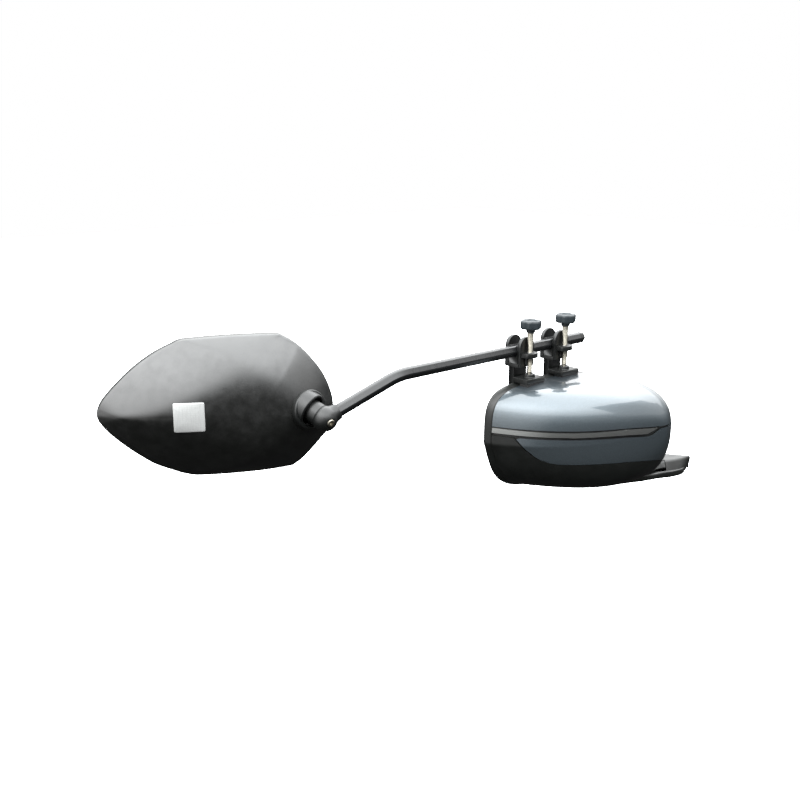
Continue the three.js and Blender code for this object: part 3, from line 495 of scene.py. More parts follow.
PAINT = car_paint("silver_blue_paint", (0.078, 0.096, 0.108), (0.030, 0.038, 0.044))
BLACK_SATIN = moulded("black_satin", (0.0045, 0.005, 0.0045), 0.36, 0.05, 1500, specular=0.45)
BLACK_MATT = moulded("black_matt", (0.006, 0.0062, 0.0055), 0.5, 0.08, 1100, dust=0.12)
BLACK_HEAD = moulded("black_head", (0.0018, 0.002, 0.0016), 0.35, 0.05, 1300, specular=1.0, dust=0.0)
BLACK_CLAMP = moulded("black_clamp", (0.0045, 0.005, 0.0048), 0.34, 0.06, 1300, specular=0.5)
GREY_KNOB = moulded("grey_knob", (0.014, 0.019, 0.022), 0.42, 0.08, 1200)
ARM_COAT = moulded("arm_powder_coat", (0.006, 0.0065, 0.007), 0.28, 0.1, 900, 0.6, 0.1)
ZINC = metal("zinc_plate", (0.34, 0.32, 0.27), 0.28, turned=True)
STEEL = metal("plain_steel", (0.30, 0.30, 0.30), 0.3, spots=0.05)
BRASS = metal("turned_brass", (0.62, 0.46, 0.20), 0.3, turned=True)
RUBBER = rubbery("black_rubber", (0.006, 0.006, 0.006))
NYLON = moulded("natural_nylon", (0.62, 0.59, 0.50), 0.45, 0.04, 900, dust=0.0)
LENS = lens_material()
REFLECTOR = reflector_material()
MIRROR = mirror_material("mirror_silver", (0.86, 0.89, 0.90))
HEATER = moulded("heater_film", (0.09, 0.05, 0.03), 0.5, 0.05, 700, dust=0.0)
BOARD = board_material()


# ---------------------------------------------------------------- housing surface, as in the CAD
RIM_FRONT = -16.0
DOME_DEPTH = 137.0
RIM = {"left": 126.0, "right": 128.0, "up": 71.0, "down": 73.0, "x": 66.0, "z": -112.0}
NOSE = {"x": 125.0, "z": -104.0}
SEAM, COVER_WALL = 0.9, 2.4
CAP_EDGE = smooth_line([(-90, -88.4), (-50, -87.5), (-33, -87.2), (8, -87.7), (63, -88.3), (102, -90.9),
                        (128, -92.2), (230, -92.8)])
LENS_TIP = 109
LENS_TOP = smooth_line([(-90, -89.3), (-33, -89.4), (-5, -89.9), (30, -90.1), (63, -90), (91, -91.7),
                        (LENS_TIP, -92.9)])
LENS_FOOT = smooth_line([(-90, -96.6), (-47, -95.8), (-11, -95.8), (1, -96.2), (30, -96.2), (63, -97.2),
                         (88, -98.9), (91.6, -99), (94, -98.3), (LENS_TIP, -92.9)])
PAINTED = closed_curve([(-46, -99.4), (-33, -98.6), (-11, -98.6), (30, -99.3), (63, -100.1), (92, -102.4),
                        (103.7, -100.6), (114, -95.4), (128, -94.4), (230, -94.6), (250, -130), (230, -168),
                        (200, -162), (175, -155), (150, -148), (132, -143.1), (110, -138.8), (93, -136.5),
                        (67, -134.3), (33, -133.3), (-7, -132.7), (-18.6, -131.2), (-24, -128.6), (-30, -125),
                        (-35, -119.5), (-41, -112.4), (-45, -105)])
BLACK_TOP = smooth_line([(-90, -99.6), (-50, -99.6), (-44, -103), (0, -115), (230, -115)])


def dome_points(ts, angles, grow=0.0):
    t = np.asarray(ts, float)[:, None]
    a = np.asarray(angles, float)[None, :]
    c0, s0 = np.cos(a), np.sin(a)
    inboard, upper = c0 > 0, s0 > 0
    power = np.where(inboard, np.where(upper, 2.3 + 0.15 * t, 4 - 1.9 * t),
                     np.where(upper, 4.6 - 1.8 * t, 3.3 - 0.6 * t))
    c = np.sign(c0) * np.abs(c0) ** (2 / power)
    s = np.sign(s0) * np.abs(s0) ** (2 / power)
    width = np.where(inboard, RIM["right"] * (1 - t**1.32) ** 0.62, RIM["left"] * (1 - t**3) ** 0.72) + grow
    height = np.where(upper, RIM["up"] * (1 - t**2.7) ** 0.42, RIM["down"] * (1 - t**6.4) ** 0.54) + grow
    lean = np.where(upper | inboard, 0, 15 * (1 - (1 + s) ** 2) * (1 - t) * np.minimum(1, -2.5 * c))
    x = RIM["x"] + (NOSE["x"] - RIM["x"]) * t + c * width + lean
    z = RIM["z"] + (NOSE["z"] - RIM["z"]) * t + s * height
    y = RIM_FRONT - DOME_DEPTH * t - grow * t + 0 * x
    return np.stack([x, y, z], axis=-1)


def even_angles(count, t=0.25):
    """Angles that space points evenly round the outline of a section."""
    fine = np.linspace(0, 2 * math.pi, 24001)
    outline = dome_points([t], fine)[0]
    run = np.concatenate([[0], np.cumsum(np.linalg.norm(np.diff(outline, axis=0), axis=1))])
    return np.interp(np.arange(count) / count * run[-1], run, fine)


def dome_mesh(around=360, along=110):
    angles = even_angles(around)
    ts = np.sin(np.linspace(0, 1, along) * math.pi / 2) ** 0.9
    rings = dome_points(ts[:-1], angles)
    points = np.vstack([rings.reshape(-1, 3), [NOSE["x"], RIM_FRONT - DOME_DEPTH, NOSE["z"]]])
    faces = grid_faces(along - 1, around)
    row = (along - 2) * around
    faces += [(row + j, row + (j + 1) % around, len(points) - 1) for j in range(around)]
    return points, outward(points, faces, np.array([90.0, -60.0, -110.0]))


def housing_skins():
    """Both covers, the cap and the lens are cut from one dome, so they meet at even seams."""
    points, faces = dome_mesh()
    x, z = points[:, 0], points[:, 2]
    inside = inside_by(PAINTED, x, z)
    in_lens = np.minimum(np.minimum(LENS_TOP(x) - z, z - LENS_FOOT(x)), LENS_TIP - x)
    skins = (
        ("painted_cap_skin", z - CAP_EDGE(x), PAINT, "paint", "painted_cap"),
        ("indicator_lens_skin", in_lens, LENS, "lens", "indicator_lens"),
        ("painted_cover_skin", inside - SEAM / 2, PAINT, "paint", "lower_cover_painted"),
        ("black_cover_skin", np.minimum(BLACK_TOP(x) - z, -inside - SEAM / 2), BLACK_SATIN, "black_satin",
         "lower_cover_black"),
    )
    for name, keep, material, slot, replaced in skins:
        piece = make_piece(name, *clip(points, faces, keep), material, "housing", slot, [replaced])
        thicken(piece, COVER_WALL, 0.5)
    # A dark strip behind the outer end of the seams, so that nothing shows through them
    behind_seam = np.minimum(np.minimum(-86.0 - z, z + 102.0), -50.0 - x)
    piece = make_piece("seam_backing_skin", *clip(points, faces, behind_seam), BLACK_MATT, "housing",
                       "black_satin")
    add_modifier(piece, "DISPLACE", strength=-(COVER_WALL + 0.5) * MM, mid_level=0.0)
    thicken(piece, 1.0, 0.2)


# ---------------------------------------------------------------- skirt and foot, as in the CAD
# Along x: place and height of the top of the front face, place of its foot
STATIONS = np.array([
    (90, -100, -150, -60), (130, -112, -150, -72), (150, -115, -152, -78), (170, -104, -157, -87),
    (185, -88, -163, -92.5), (195, -80, -169, -96), (205, -80, -174, -99), (215, -84, -177, -103),
    (221, -88.6, -177, -105.5), (240, -97, -177, -108.5), (255, -100.5, -177, -104.5),
    (272, -104.5, -177, -95)], float)
TOP_Y, TOP_Z, FOOT_Y = (smooth_line(STATIONS[:, (0, column)]) for column in (1, 2, 3))
FLOOR, PLATE_TOP, SKIRT_FLOOR = -198.0, -189.3, -186.5
PIVOT = (165.0, -50.0)
SWING = 70.0
FOOT_END = 267.7


def front_at(x, height):
    """Where the hollowed front face of the skirt and foot stands, at a place along x and a height."""
    share = (height - FLOOR) / (TOP_Z(x) - FLOOR)
    bulge = (TOP_Z(x) - FLOOR) / 10
    return FOOT_Y(x) + (TOP_Y(x) - FOOT_Y(x)) * share - bulge * 4 * share * (1 - share)


def skirt_section(x, wall, floor):
    top = TOP_Z(x) - wall
    edge = 0.1 if wall else 2.2
    rise = [(front_at(x, h) + wall, h) for h in np.linspace(floor + 1.2, top - edge, 14)]
    turn = [(front_at(x, top) + wall + edge * (1 - math.cos(a)), top - edge * (1 - math.sin(a)))
            for a in np.linspace(0.3, math.pi / 2, 5)]
    return [(-58 - wall, floor), (front_at(x, floor) + wall + 1.2, floor), *rise, *turn, (-58 - wall, top)]


def round_about_pivot(radius, sides):
    return [(PIVOT[0] + radius * math.cos(a), PIVOT[1] + radius * math.sin(a))
            for a in np.linspace(0, 2 * math.pi, sides, endpoint=False)]


def skirt():
    """Hollow fairing under the housing, open below, rounded off about the fold pivot."""
    def body(wall, floor, start, end):
        return through_rings([[(x, y, z) for y, z in skirt_section(x, wall, floor)]
                              for x in np.arange(start, end + 0.1, 2.5)])
    arc = np.linspace(-math.pi / 2, math.pi / 2, 97)
    swing = [(60, 60), (60, -160), (PIVOT[0], -160)]
    swing += [(PIVOT[0] + SWING * math.cos(a), PIVOT[1] + SWING * math.sin(a)) for a in arc]
    swing += [(PIVOT[0], 60)]
    piece = make_piece("skirt_skin", *body(0, SKIRT_FLOOR, 90, 235), BLACK_SATIN, "housing", "black_satin")
    carve(piece, *prism(swing, -240, -100), "INTERSECT")
    carve(piece, *body(3, SKIRT_FLOOR - 5, 60 + 32.5, 206))
    carve(piece, *prism(round_about_pivot(18.5, 64), -240, -160))
    crisp(piece)


def foot():
    """Flat foot under the skirt, its raised end at the door, and the post that the housing folds about."""
    front = [(x, float(FOOT_Y(x))) for x in np.linspace(FOOT_END, 142, 60)]
    back = [(139.5, -71), (137, -62), (136.4, -53), (137.4, -44), (140.6, -36), (146, -30), (154, -25),
            (164, -22), (175, -21.4), (186, -22), (FOOT_END, -30.6)]
    outline = np.array(front + back)
    middle = outline.mean(axis=0)

    def ring(inset, z):
        away = outline - middle
        reach = 1 - inset / np.linalg.norm(away, axis=1)[:, None]
        spots = middle + away * reach
        return [(min(x, FOOT_END), y, z) for x, y in spots]

    turn = [(2.5 * (1 - math.sin(a)), 2.5 * (1 - math.cos(a))) for a in np.linspace(0, math.pi / 2, 6)]
    rings = [ring(inset, FLOOR + rise) for inset, rise in turn]
    rings += [ring(inset, PLATE_TOP - rise) for inset, rise in reversed(turn)]
    plate = make_piece("foot_plate_skin", *through_rings(rings), BLACK_SATIN, "foot", "black_satin",
                       ["mirror_foot"])
    crisp(plate, 40)

    def section(x):
        top = float(TOP_Z(x))
        low = float(FOOT_Y(x))
        rise = [(front_at(x, h), h) for h in np.linspace(-195.5, top - 2, 12)]
        back = [(-64, -183.2), (-34, -187.6), (-32.6, -188.4), (-32, -189.6), (-32, FLOOR)]
        turn = [(front_at(x, top) + 0.6, top - 0.5), (float(TOP_Y(x)) + 2.4, top)]
        return [(low + 2.5, FLOOR), *rise, *turn, *back]

    places = np.append(np.arange(205, 267, 2.0), FOOT_END)
    sections = through_rings([[(x, y, z) for y, z in section(x)] for x in places])
    block = make_piece("foot_block_skin", *sections, BLACK_SATIN, "foot", "black_satin")
    carve(block, *prism(round_about_pivot(SWING + 1, 192), PLATE_TOP, -100))
    crisp(block)
    profile = [[0, -196], [16, -196], [16, -162.3], [11, -162.3], [11, -120], [0, -120]]
    turned = lathe(rounded(profile, 0.8), (*PIVOT, 0), sides=64)
    crisp(make_piece("fold_post_skin", *turned, BLACK_SATIN, "foot", "black_satin"))


def rear_bezel():
    """Surround of the glass: its profile is how far it stands outside the dome's rim, and its place along y."""
    angles = even_angles(300, 0.0)
    profile = [(-2.2, -15.4), (-0.3, -15.4), (0.25, -14.9), (1.2, -12.6), (2.3, -9.6), (3.1, -6.9),
               (3.1, -5.4), (2.5, -4.4), (1.2, -4.0), (-3.2, -4.0), (-4.0, -4.3), (-4.3, -5.2), (-4.1, -6.4),
               (-2.9, -8.4)]
    inboard_top = np.maximum(0, np.cos(angles - math.pi / 4))
    rings = []
    for grow, y in profile:
        flare = np.where(grow > 0, grow * (1 - 0.9 * inboard_top), grow)
        ring = np.array([dome_points([0.0], [a], f)[0, 0] for a, f in zip(angles, flare)])
        ring[:, 1] = y
        rings.append(ring)
    rings.append(rings[0])
    points = np.array(rings[:-1]).reshape(-1, 3)
    n, m = len(profile), len(angles)
    faces = [(i * m + j, i * m + (j + 1) % m, ((i + 1) % n) * m + (j + 1) % m, ((i + 1) % n) * m + j)
             for i in range(n) for j in range(m)]
    volume = sum(np.dot(points[f[0]], np.cross(points[f[1]], points[f[2]])) for f in faces)
    if volume < 0:
        faces = [tuple(reversed(f)) for f in faces]
    make_piece("rear_bezel_skin", points, faces, BLACK_SATIN, "housing", "black_satin", ["rear_bezel"])


# ---------------------------------------------------------------- towing mirror head, as in the CAD
HEAD_YAW = math.radians(-27)
HEAD_U = np.array([math.cos(HEAD_YAW), math.sin(HEAD_YAW), 0])
HEAD_V = np.array([0.0, 0, 1])
HEAD_W = np.array([math.sin(HEAD_YAW), -math.cos(HEAD_YAW), 0])
BALL = np.array([-305.8, 52.05, -28.4])
KNUCKLE = np.array([-296.2, 23.7, -40.8])
KNUCKLE_R = 14.8
BEND = np.array([-205.0, 0, 0])
HEAD_ORIGIN = BALL - 228 * HEAD_U - 4 * HEAD_V - 24 * HEAD_W
HEAD_DEPTH, HEAD_RIM, HEAD_SKIN = 50.0, 13.0, 2.6
SOCKET_SHARE = 0.36
HEAD_MIDDLE = np.array([150.0, 0])
OUTLINE_STEPS = 10
HEAD_OUTLINE = closed_curve([
    (0, 0.5), (2, 9), (9, 20), (27, 39.5), (44, 54.4), (61, 66), (77, 74), (87, 78.4), (101, 79.6),
    (133, 80.8), (166, 80.8), (186, 80.2), (193, 78), (209, 67), (225, 49), (236, 32), (243, 14), (246, -4),
    (242, -29), (232, -43), (216, -61), (204, -71), (196, -74), (166, -76.5), (130, -77), (100, -76),
    (86, -73), (76, -69), (56, -59.5), (41, -48.5), (26, -35.5), (12, -21), (3, -8.5)], OUTLINE_STEPS)
HEAD_OUTLINE = HEAD_OUTLINE * (1.09, 1.035)
# Parts of the outline, by their first and last knot, and how far from each the face takes to level out
HEAD_TIP = [(0, 7, 125), (26, 33, 125)]
HEAD_BLUNT = [(7, 12, 62), (12, 21, 84), (21, 26, 62)]
REFLECTOR_BOX = (82.0, 116.0, -15.5, 18.0)


def rise_from(u, v, first, last, reach):
    """How far the face has risen above one part of the outline, whose ends run on straight."""
    line = HEAD_OUTLINE[np.arange(first * OUTLINE_STEPS, last * OUTLINE_STEPS + 1) % len(HEAD_OUTLINE)]
    inner = line[OUTLINE_STEPS:-OUTLINE_STEPS]
    line = np.vstack([inner[0] + 30 * (line[0] - inner[0]), inner, inner[-1] + 30 * (line[-1] - inner[-1])])
    distance = np.full(np.shape(u), float(reach))
    for (au, av), (bu, bv) in zip(line[:-1], line[1:]):
        eu, ev = bu - au, bv - av
        t = np.clip(((u - au) * eu + (v - av) * ev) / (eu * eu + ev * ev), 0, 1)
        distance = np.minimum(distance, np.hypot(u - au - t * eu, v - av - t * ev))
    return HEAD_DEPTH * (1 - (1 - distance / reach) ** 2)


def soft_least(values, softness_at):
    """The least of several values, rounded off where they are nearly equal."""
    lowest = np.min(values, axis=0)
    softness = softness_at(lowest)
    return lowest - softness * np.log(sum(np.exp((lowest - value) / softness) for value in values))


def head_rise(u, v):
    """Depth of the head's face: it curves up from each side and the sides blend towards the middle."""
    blunt = [rise_from(u, v, *side) for side in HEAD_BLUNT]
    blunt = soft_least(blunt, lambda lowest: 9 - 8 * np.exp(-lowest / 14))
    sides = [blunt] + [rise_from(u, v, *side) for side in HEAD_TIP]
    return np.maximum(0, soft_least(sides, lambda lowest: 0.4 + 5 * (lowest / HEAD_DEPTH) ** 2))


def face_normal(at):
    """Which way the head's face looks at a place on it."""
    u, v = (at - HEAD_ORIGIN) @ HEAD_U, (at - HEAD_ORIGIN) @ HEAD_V
    rises = head_rise(np.array([u + 2, u - 2, u, u]), np.array([v, v, v + 2, v - 2]))
    return unit(HEAD_W - HEAD_U * (rises[0] - rises[1]) / 4 - HEAD_V * (rises[2] - rises[3]) / 4)


def in_head(u, v, w):
    """Points of the head from its own axes: along the head, up it, and out of its face."""
    across = np.multiply.outer(u, HEAD_U) + np.multiply.outer(v, HEAD_V)
    return HEAD_ORIGIN + across + np.multiply.outer(w, HEAD_W)


def head_shell():
    """Hollow shell: rings from the middle of the face out to its edge, round the rim and back inside."""
    away = HEAD_OUTLINE - HEAD_MIDDLE
    length = np.linalg.norm(away, axis=1)

    def spot(inset, share=1.0):
        reach = share * (1 - inset / length)
        return HEAD_MIDDLE[0] + away[:, 0] * reach, HEAD_MIDDLE[1] + away[:, 1] * reach

    def flat(inset, depth):
        u, v = spot(inset)
        return in_head(u, v, np.full_like(u, depth))

    edge = 2.0
    rings = []
    for share in np.linspace(0.03, 1, 60):
        u, v = spot(edge, share)
        rings.append(in_head(u, v, head_rise(u, v)))
    u0, v0 = spot(edge)
    u1, v1 = spot(0)
    w0, w1 = head_rise(u0, v0), head_rise(u1, v1)
    for t in (0.2, 0.4, 0.6, 0.8, 1.0):
        a, b, c = (1 - t) ** 2, 2 * t * (1 - t), t * t
        u, v = a * u0 + (b + c) * u1, a * v0 + (b + c) * v1
        rings.append(in_head(u, v, a * w0 + b * w1 + c * (w1 - edge)))
    lip = [(0.0, -HEAD_RIM + 1.0), (0.3, -HEAD_RIM + 0.3), (1.0, -HEAD_RIM), (HEAD_SKIN - 0.4, -HEAD_RIM),
           (HEAD_SKIN, -HEAD_RIM + 0.4)]
    rings += [flat(inset, depth) for inset, depth in lip]
    for share in np.linspace(1, 0.06, 24):
        u, v = spot(HEAD_SKIN, share)
        rings.append(in_head(u, v, head_rise(u, v) - HEAD_SKIN))
    middle = head_rise(*HEAD_MIDDLE[:, None])[0]
    ends = [in_head(*HEAD_MIDDLE, middle - drop) for drop in (0, HEAD_SKIN)]
    piece = make_piece("head_shell_skin", *through_rings(rings, *ends), BLACK_HEAD, "head", "black_matt",
                       ["head_shell"])
    hole = lathe([[0, -4], [17.6, -4], [17.6, 40], [0, 40]], BALL, KNUCKLE - BALL, sides=96)
    carve(piece, *hole)
    crisp(piece, 38)


def reflector():
    """Square patch with rounded corners that follows the head's face."""
    u0, u1, v0, v1 = REFLECTOR_BOX
    centre, half = np.array([(u0 + u1) / 2, (v0 + v1) / 2]), np.array([(u1 - u0) / 2, (v1 - v0) / 2])
    angles = np.linspace(0, 2 * math.pi, 160, endpoint=False)
    squareness = 2 / 22
    corner = np.stack([np.sign(np.cos(angles)) * np.abs(np.cos(angles)) ** squareness,
                       np.sign(np.sin(angles)) * np.abs(np.sin(angles)) ** squareness], axis=1)
    rings = []
    steps = [(share, 1.3) for share in np.linspace(0.04, 0.975, 14)]
    steps += [(0.99, 1.15), (1.0, 0.75), (1.0, -0.3)]
    for share, proud in steps:
        u, v = (centre + corner * half * share).T
        rings.append(in_head(u, v, head_rise(u, v) + proud))
    ends = [in_head(*centre, head_rise(*centre[:, None])[0] + proud) for proud in (1.3, -0.3)]
    piece = make_piece("reflector_skin", *through_rings(rings, *ends), REFLECTOR, "head", "reflector",
                       ["reflector"])
    crisp(piece, 50)


def head_socket():
    """Collar about the ball's stem, and the flange at its foot that lies along the face."""
    stem = KNUCKLE - BALL
    ring = soft_ring([[16.8, 0], [20, 0], [20, 13], [18.9, 14.2], [16.8, 14.2]], 0.5)
    piece = make_piece("socket_collar_skin", *ring_body(ring, BALL, stem, 112), BLACK_CLAMP, "head",
                       "black_satin", ["socket_collar"])
    crisp(piece, 45)
    at = BALL + stem * SOCKET_SHARE
    foot = soft_ring([[17.4, -6], [23.2, -6], [23.2, 0], [22.4, 1.2], [21.2, 1.6], [17.4, 1.6]], 0.5)
    piece = make_piece("socket_flange_skin", *ring_body(foot, at, face_normal(at), 112), BLACK_CLAMP, "head",
                       "black_satin", ["socket_collar"])
    carve(piece, *lathe([[0, -12], [17.6, -12], [17.6, 40], [0, 40]], BALL, stem, sides=96))
    crisp(piece, 45)


# ---------------------------------------------------------------- arm and its knuckle, as in the CAD
ARM_FLATS = 13.6


def hex_ring(at, direction, flats):
    """Hexagon with rounded corners and a level top, square to a direction."""
    direction = unit(direction)
    side = unit(np.cross([0, 0, 1.0], direction))
    up = unit(np.cross(direction, side))
    radius = flats / math.sqrt(3) * 0.973
    turns = [math.pi / 3 * k + turn for k in range(6) for turn in (-0.13, -0.065, 0, 0.065, 0.13)]
    return [at + radius * (math.cos(a) * side + math.sin(a) * up) for a in turns]


def arm():
    first, second = np.array([-1.0, 0, 0]), unit(KNUCKLE - BEND)
    start, reach = BEND - first * 14, 14
    straight = ((127, ARM_FLATS - 0.8), (126.6, ARM_FLATS), (-60, ARM_FLATS), (-120, ARM_FLATS))
    rings = [hex_ring(np.array([x, 0, 0.0]), first, flats) for x, flats in straight]
    for t in np.linspace(0, 1, 25):
        at = start * (1 - t) ** 2 + BEND * 2 * t * (1 - t) + (BEND + second * reach) * t**2
        rings.append(hex_ring(at, first * (1 - t) + second * t, ARM_FLATS))
    rings.append(hex_ring(KNUCKLE - second * (KNUCKLE_R + 3), second, ARM_FLATS))
    crisp(make_piece("arm_bar_skin", *through_rings(rings), ARM_COAT, "arm", "coated_arm", ["arm_bar"]), 20)


def knuckle():
    toward_arm = unit(BEND - KNUCKLE)
    screw_way = unit([-0.15, -0.97, -0.15])
    top = KNUCKLE_R + 2.7
    ball = [[KNUCKLE_R * math.sin(a), -KNUCKLE_R * math.cos(a)] for a in np.linspace(0, 2.3, 34)]
    profile = [*ball, [10.2, 12.4], [9.8, 14.6], [9.6, top - 0.5], [9.1, top], [0, top]]
    piece = make_piece("arm_knuckle_skin", *lathe(profile, KNUCKLE, toward_arm, 96), BLACK_CLAMP, "arm",
                       "black_satin", ["arm_knuckle"])
    seat = KNUCKLE_R - 3.2
    carve(piece, *lathe([[0, seat], [5.3, seat], [5.3, 30], [0, 30]], KNUCKLE, screw_way, 64))
    crisp(piece, 38)
    crown = KNUCKLE_R + 0.7
    head = [[0, -1], [2.3, -1], [2.3, seat + 0.3], [4.6, seat + 0.3], [4.6, crown - 1], [3.9, crown - 0.2],
            [3.4, crown], [2.5, crown], [2.45, crown - 3], [0, crown - 3]]

    def socket(r, h, angle):
        if not 2.4 < r < 2.6:
            return r
        return r / math.cos((angle + math.pi / 6) % (math.pi / 3) - math.pi / 6) * 0.92

    screw = lathe(head, KNUCKLE, screw_way, 72, socket)
    crisp(make_piece("knuckle_screw_skin", *screw, ZINC, "arm", "steel", ["knuckle_screw"]), 30)
    sleeve = soft_ring([[3.9, 8.4], [12, 8.4], [13, 9.4], [13, 25], [3.9, 25]], 0.5)
    points, faces = ring_body(sleeve, BALL, KNUCKLE - BALL, 96)
    crisp(make_piece("ball_sleeve_skin", points, faces, BLACK_CLAMP, "arm", "black_satin", ["ball_sleeve"]), 45)


# ---------------------------------------------------------------- clamp screws and knobs, as in the CAD
SCREW_Y = -18.0
CLAMP_X = {"outer": 6.8, "inner": 77.0}
PITCH = 1.5
THREAD = (-26.6, 25.2)


def clamp_screw(name, x):
    def radius(r, h, angle):
        if not THREAD[0] < h < THREAD[1]:
            return r
        phase = (h / PITCH - angle / (2 * math.pi)) % 1
        fade = min(1, (h - THREAD[0]) / 1.5, (THREAD[1] - h) / 1.5)
        return r - 0.5 * fade * (0.5 - 0.5 * math.cos(2 * math.pi * phase))

    tip = [[0, -34], [1.8, -33.4], [2.6, -32.6], [3.1, -31.6], [3.1, -29.8], [2.1, -28.4], [2.1, -28],
           [3.5, -27]]
    body = [[3.5 if z < 6 else 3.5 + 1.1 * (z - 6) / 19.5, z] for z in np.arange(-26.8, 25.5, PITCH / 7)]
    profile = tip + body + [[4.6, 25.6], [3.5, 25.8], [3.5, 37.6], [0, 37.6]]
    points, faces = lathe(profile, (x, SCREW_Y, 0), sides=40, radius_of=radius)
    piece = make_piece(f"clamp_screw_{name}_skin", points, faces, ZINC, f"screw_{name}", "steel",
                       [f"clamp_screw_{name}"])
    crisp(piece, 50)


def knob(name, x):
    def radius(r, h, angle):
        return r + 0.9 * min(1, max(0, (r - 7.5) / 2)) * math.cos(6 * angle)

    profile = [[0, 26], [5.9, 26], [5.9, 29.2], [11.4, 30.2], [13.1, 31.8], [13.3, 39.4], [12.3, 41.4],
               [10.4, 41.8], [8.8, 41.5], [7.4, 40], [7, 39.4], [0, 39.2]]
    points, faces = lathe(rounded(profile, 0.9, 4), (x, SCREW_Y, 0), sides=144, radius_of=radius)
    piece = make_piece(f"screw_knob_{name}_skin", points, faces, GREY_KNOB, f"screw_{name}", "grey_knob",
                       [f"screw_knob_{name}"])
    crisp(piece, 50)


housing_skins()
skirt()
foot()
rear_bezel()
head_shell()
reflector()
head_socket()
arm()
knuckle()
for name, x in CLAMP_X.items():
    clamp_screw(name, x)
    knob(name, x)

# ---------------------------------------------------------------- CAD nodes that keep their shape
# Material, and how far the edges are softened
KEPT = {
    "housing_frame": (BLACK_MATT, 0.3), "glass_drive": (BLACK_MATT, 0.3), "glass_carrier": (BLACK_MATT, 0.3),
    "drive_motor_upper": (STEEL, 0.4), "drive_motor_side": (STEEL, 0.4), "drive_screw_1": (ZINC, 0.1),
    "drive_screw_2": (ZINC, 0.1), "drive_screw_3": (ZINC, 0.1), "jack_upper": (NYLON, 0.15),
    "jack_side": (NYLON, 0.15), "glass_gimbal": (NYLON, 0.2), "heater_pad": (HEATER, 0),
    "mirror_glass": (MIRROR, 0.25),
    "indicator_carrier": (BLACK_SATIN, 0), "indicator_board": (BOARD, 0), "door_gasket": (RUBBER, 0.4),
    "door_insert_1": (BRASS, 0.3), "door_insert_2": (BRASS, 0.3), "door_insert_3": (BRASS, 0.3),
    "detent_ring": (STEEL, 0.2), "spring_washer": (STEEL, 0.2), "retaining_ring": (STEEL, 0.15),
    "fold_spring": (STEEL, 0), "arm_end_cap": (BLACK_SATIN, 0.3), "ball_stud": (ZINC, 0),
    "socket_cup": (BLACK_MATT, 0), "ball_seat": (NYLON, 0), "tow_glass": (MIRROR, 0.3),
    "tow_glass_backing": (BLACK_MATT, 0),
}
for side in ("outer", "inner"):
    KEPT.update({
        f"clamp_body_{side}": (BLACK_CLAMP, 0.7), f"jaw_rubber_{side}": (RUBBER, 0.1),
        f"screw_bush_{side}": (STEEL, 0.2), f"pressure_pad_{side}": (BLACK_CLAMP, 0.8),
        f"pad_rubber_{side}": (RUBBER, 0.3),
    })
for name, (material, edge) in KEPT.items():
    kept = soften_cad(name, edge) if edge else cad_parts[name]
    kept.data.materials.clear()
    kept.data.materials.append(material)


# ---------------------------------------------------------------- floor, light, camera
# How bright the surroundings are by height: straight down is -1, the horizon 0, overhead 1
SKY = [(-1, 0.003), (-0.3, 0.004), (0.0, 0.012), (0.3, 0.09), (0.52, 0.46), (0.75, 0.68), (1, 0.66)]
SKY_STRENGTH = 10.0
# Soft bright areas of the surroundings: direction, where they start and are full (as cosines), strength
GLOWS = [((-0.93, 0.05, 0.42), 0.6, 1.0, 2.4), ((0.78, 0.58, 0.3), 0.8, 1.0, 1.6)]
# A grey card above and in front of the car mirror: centre, towards, width, height, brightness
CARD = ((0.30, -0.62, 0.60), (0.02, -0.08, 0.03), 0.95, 0.62, 1.5)


def plain(name, colour, rough):
    material, _, shader = new_material(name)
    shader.inputs["Base Color"].default_value = (*colour, 1)
    shader.inputs["Roughness"].default_value = rough
    return material


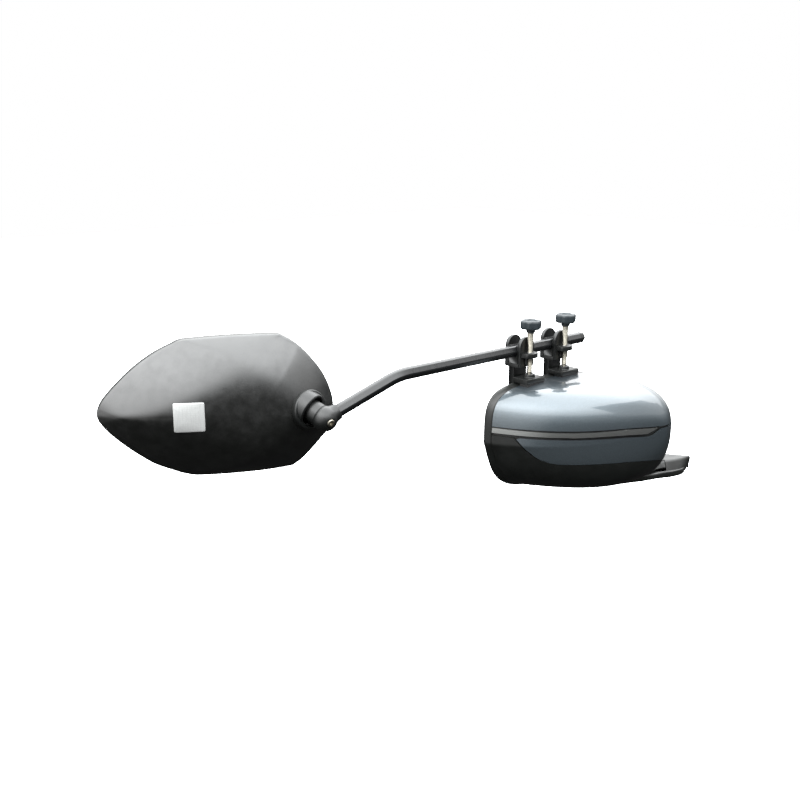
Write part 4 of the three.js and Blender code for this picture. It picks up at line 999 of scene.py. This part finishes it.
def soft_world():
    """White behind the object; around it, light that is bright overhead and dark from the horizon down."""
    world = bpy.data.worlds.new("soft_world")
    bpy.context.scene.world = world
    world.use_nodes = True
    tree = world.node_tree
    around = tree.nodes["Background"]
    height = node(tree, "ShaderNodeSeparateXYZ")
    generated = node(tree, "ShaderNodeTexCoord").outputs["Generated"]
    tree.links.new(generated, height.inputs[0])
    ramp = node(tree, "ShaderNodeValToRGB")
    ramp.color_ramp.interpolation = "EASE"
    while len(ramp.color_ramp.elements) < len(SKY):
        ramp.color_ramp.elements.new(0.5)
    for element, (rise, level) in zip(ramp.color_ramp.elements, SKY):
        element.position = (rise + 1) / 2
        element.color = (level * 0.97, level * 0.99, level, 1)
    tree.links.new(number_range(tree, height.outputs["Z"], 0, 1, -1, 1), ramp.inputs["Fac"])
    tree.links.new(ramp.outputs["Color"], around.inputs["Color"])
    around.inputs["Strength"].default_value = SKY_STRENGTH
    light = around.outputs[0]
    for direction, start, full, strength in GLOWS:
        toward = node(tree, "ShaderNodeVectorMath", operation="DOT_PRODUCT")
        toward.inputs[1].default_value = Vector(direction).normalized()
        tree.links.new(generated, toward.inputs[0])
        glow = node(tree, "ShaderNodeBackground")
        glow.inputs["Color"].default_value = (1, 1, 1, 1)
        amount = number_range(tree, toward.outputs["Value"], 0, strength, start, full)
        tree.links.new(amount, glow.inputs["Strength"])
        both = node(tree, "ShaderNodeAddShader")
        tree.links.new(light, both.inputs[0])
        tree.links.new(glow.outputs[0], both.inputs[1])
        light = both.outputs[0]
    behind = node(tree, "ShaderNodeBackground")
    behind.inputs["Color"].default_value = (1, 1, 1, 1)
    mix = node(tree, "ShaderNodeMixShader")
    tree.links.new(node(tree, "ShaderNodeLightPath").outputs["Is Camera Ray"], mix.inputs[0])
    tree.links.new(light, mix.inputs[1])
    tree.links.new(behind.outputs[0], mix.inputs[2])
    tree.links.new(mix.outputs[0], tree.nodes["World Output"].inputs["Surface"])


def backdrop(name, width, height, material):
    """A flat board that is not part of the object."""
    mesh = bpy.data.meshes.new(name)
    corners = [(x * width / 2, y * height / 2, 0) for x, y in ((-1, -1), (1, -1), (1, 1), (-1, 1))]
    mesh.from_pydata(corners, [], [(0, 1, 2, 3)])
    board = bpy.data.objects.new(name, mesh)
    bpy.context.scene.collection.objects.link(board)
    mesh.materials.append(material)
    return board


def studio():
    scene = bpy.context.scene
    floor = backdrop("floor", 28.0, 28.0, plain("pale_floor", (0.92, 0.92, 0.92), 0.7))
    floor.location = (0, 0, -1.0)
    floor.visible_glossy = False
    floor.visible_diffuse = False
    soft_world()
    at, toward, width, height, brightness = CARD
    material, _, shader = new_material("grey_card")
    shader.inputs["Base Color"].default_value = (0, 0, 0, 1)
    shader.inputs["Emission Color"].default_value = (1, 1, 1, 1)
    shader.inputs["Emission Strength"].default_value = brightness
    card = backdrop("card", width, height, material)
    card.location = at
    card.rotation_mode = "QUATERNION"
    card.rotation_quaternion = (Vector(toward) - Vector(at)).to_track_quat("-Z", "Y")
    card.visible_camera = False
    card.visible_diffuse = False
    card.visible_shadow = False
    scene.view_settings.view_transform = "Standard"


def camera():
    azimuth, elevation = math.radians(-42.0), math.radians(14.8)
    level = math.cos(elevation)
    back = Vector((math.sin(azimuth) * level, -math.cos(azimuth) * level, math.sin(elevation)))
    right = Vector((math.cos(azimuth), math.sin(azimuth), 0))
    up = back.cross(right)
    data = bpy.data.cameras.new("camera")
    data.lens, data.sensor_width = 45, 36
    data.clip_start, data.clip_end = 0.05, 60
    made = bpy.data.objects.new("camera", data)
    bpy.context.scene.collection.objects.link(made)
    turn = Matrix((right, up, back)).transposed().to_4x4()
    made.matrix_world = Matrix.Translation(Vector((-1.23408, -0.78135, 0.45687))) @ turn
    bpy.context.scene.camera = made


studio()
camera()
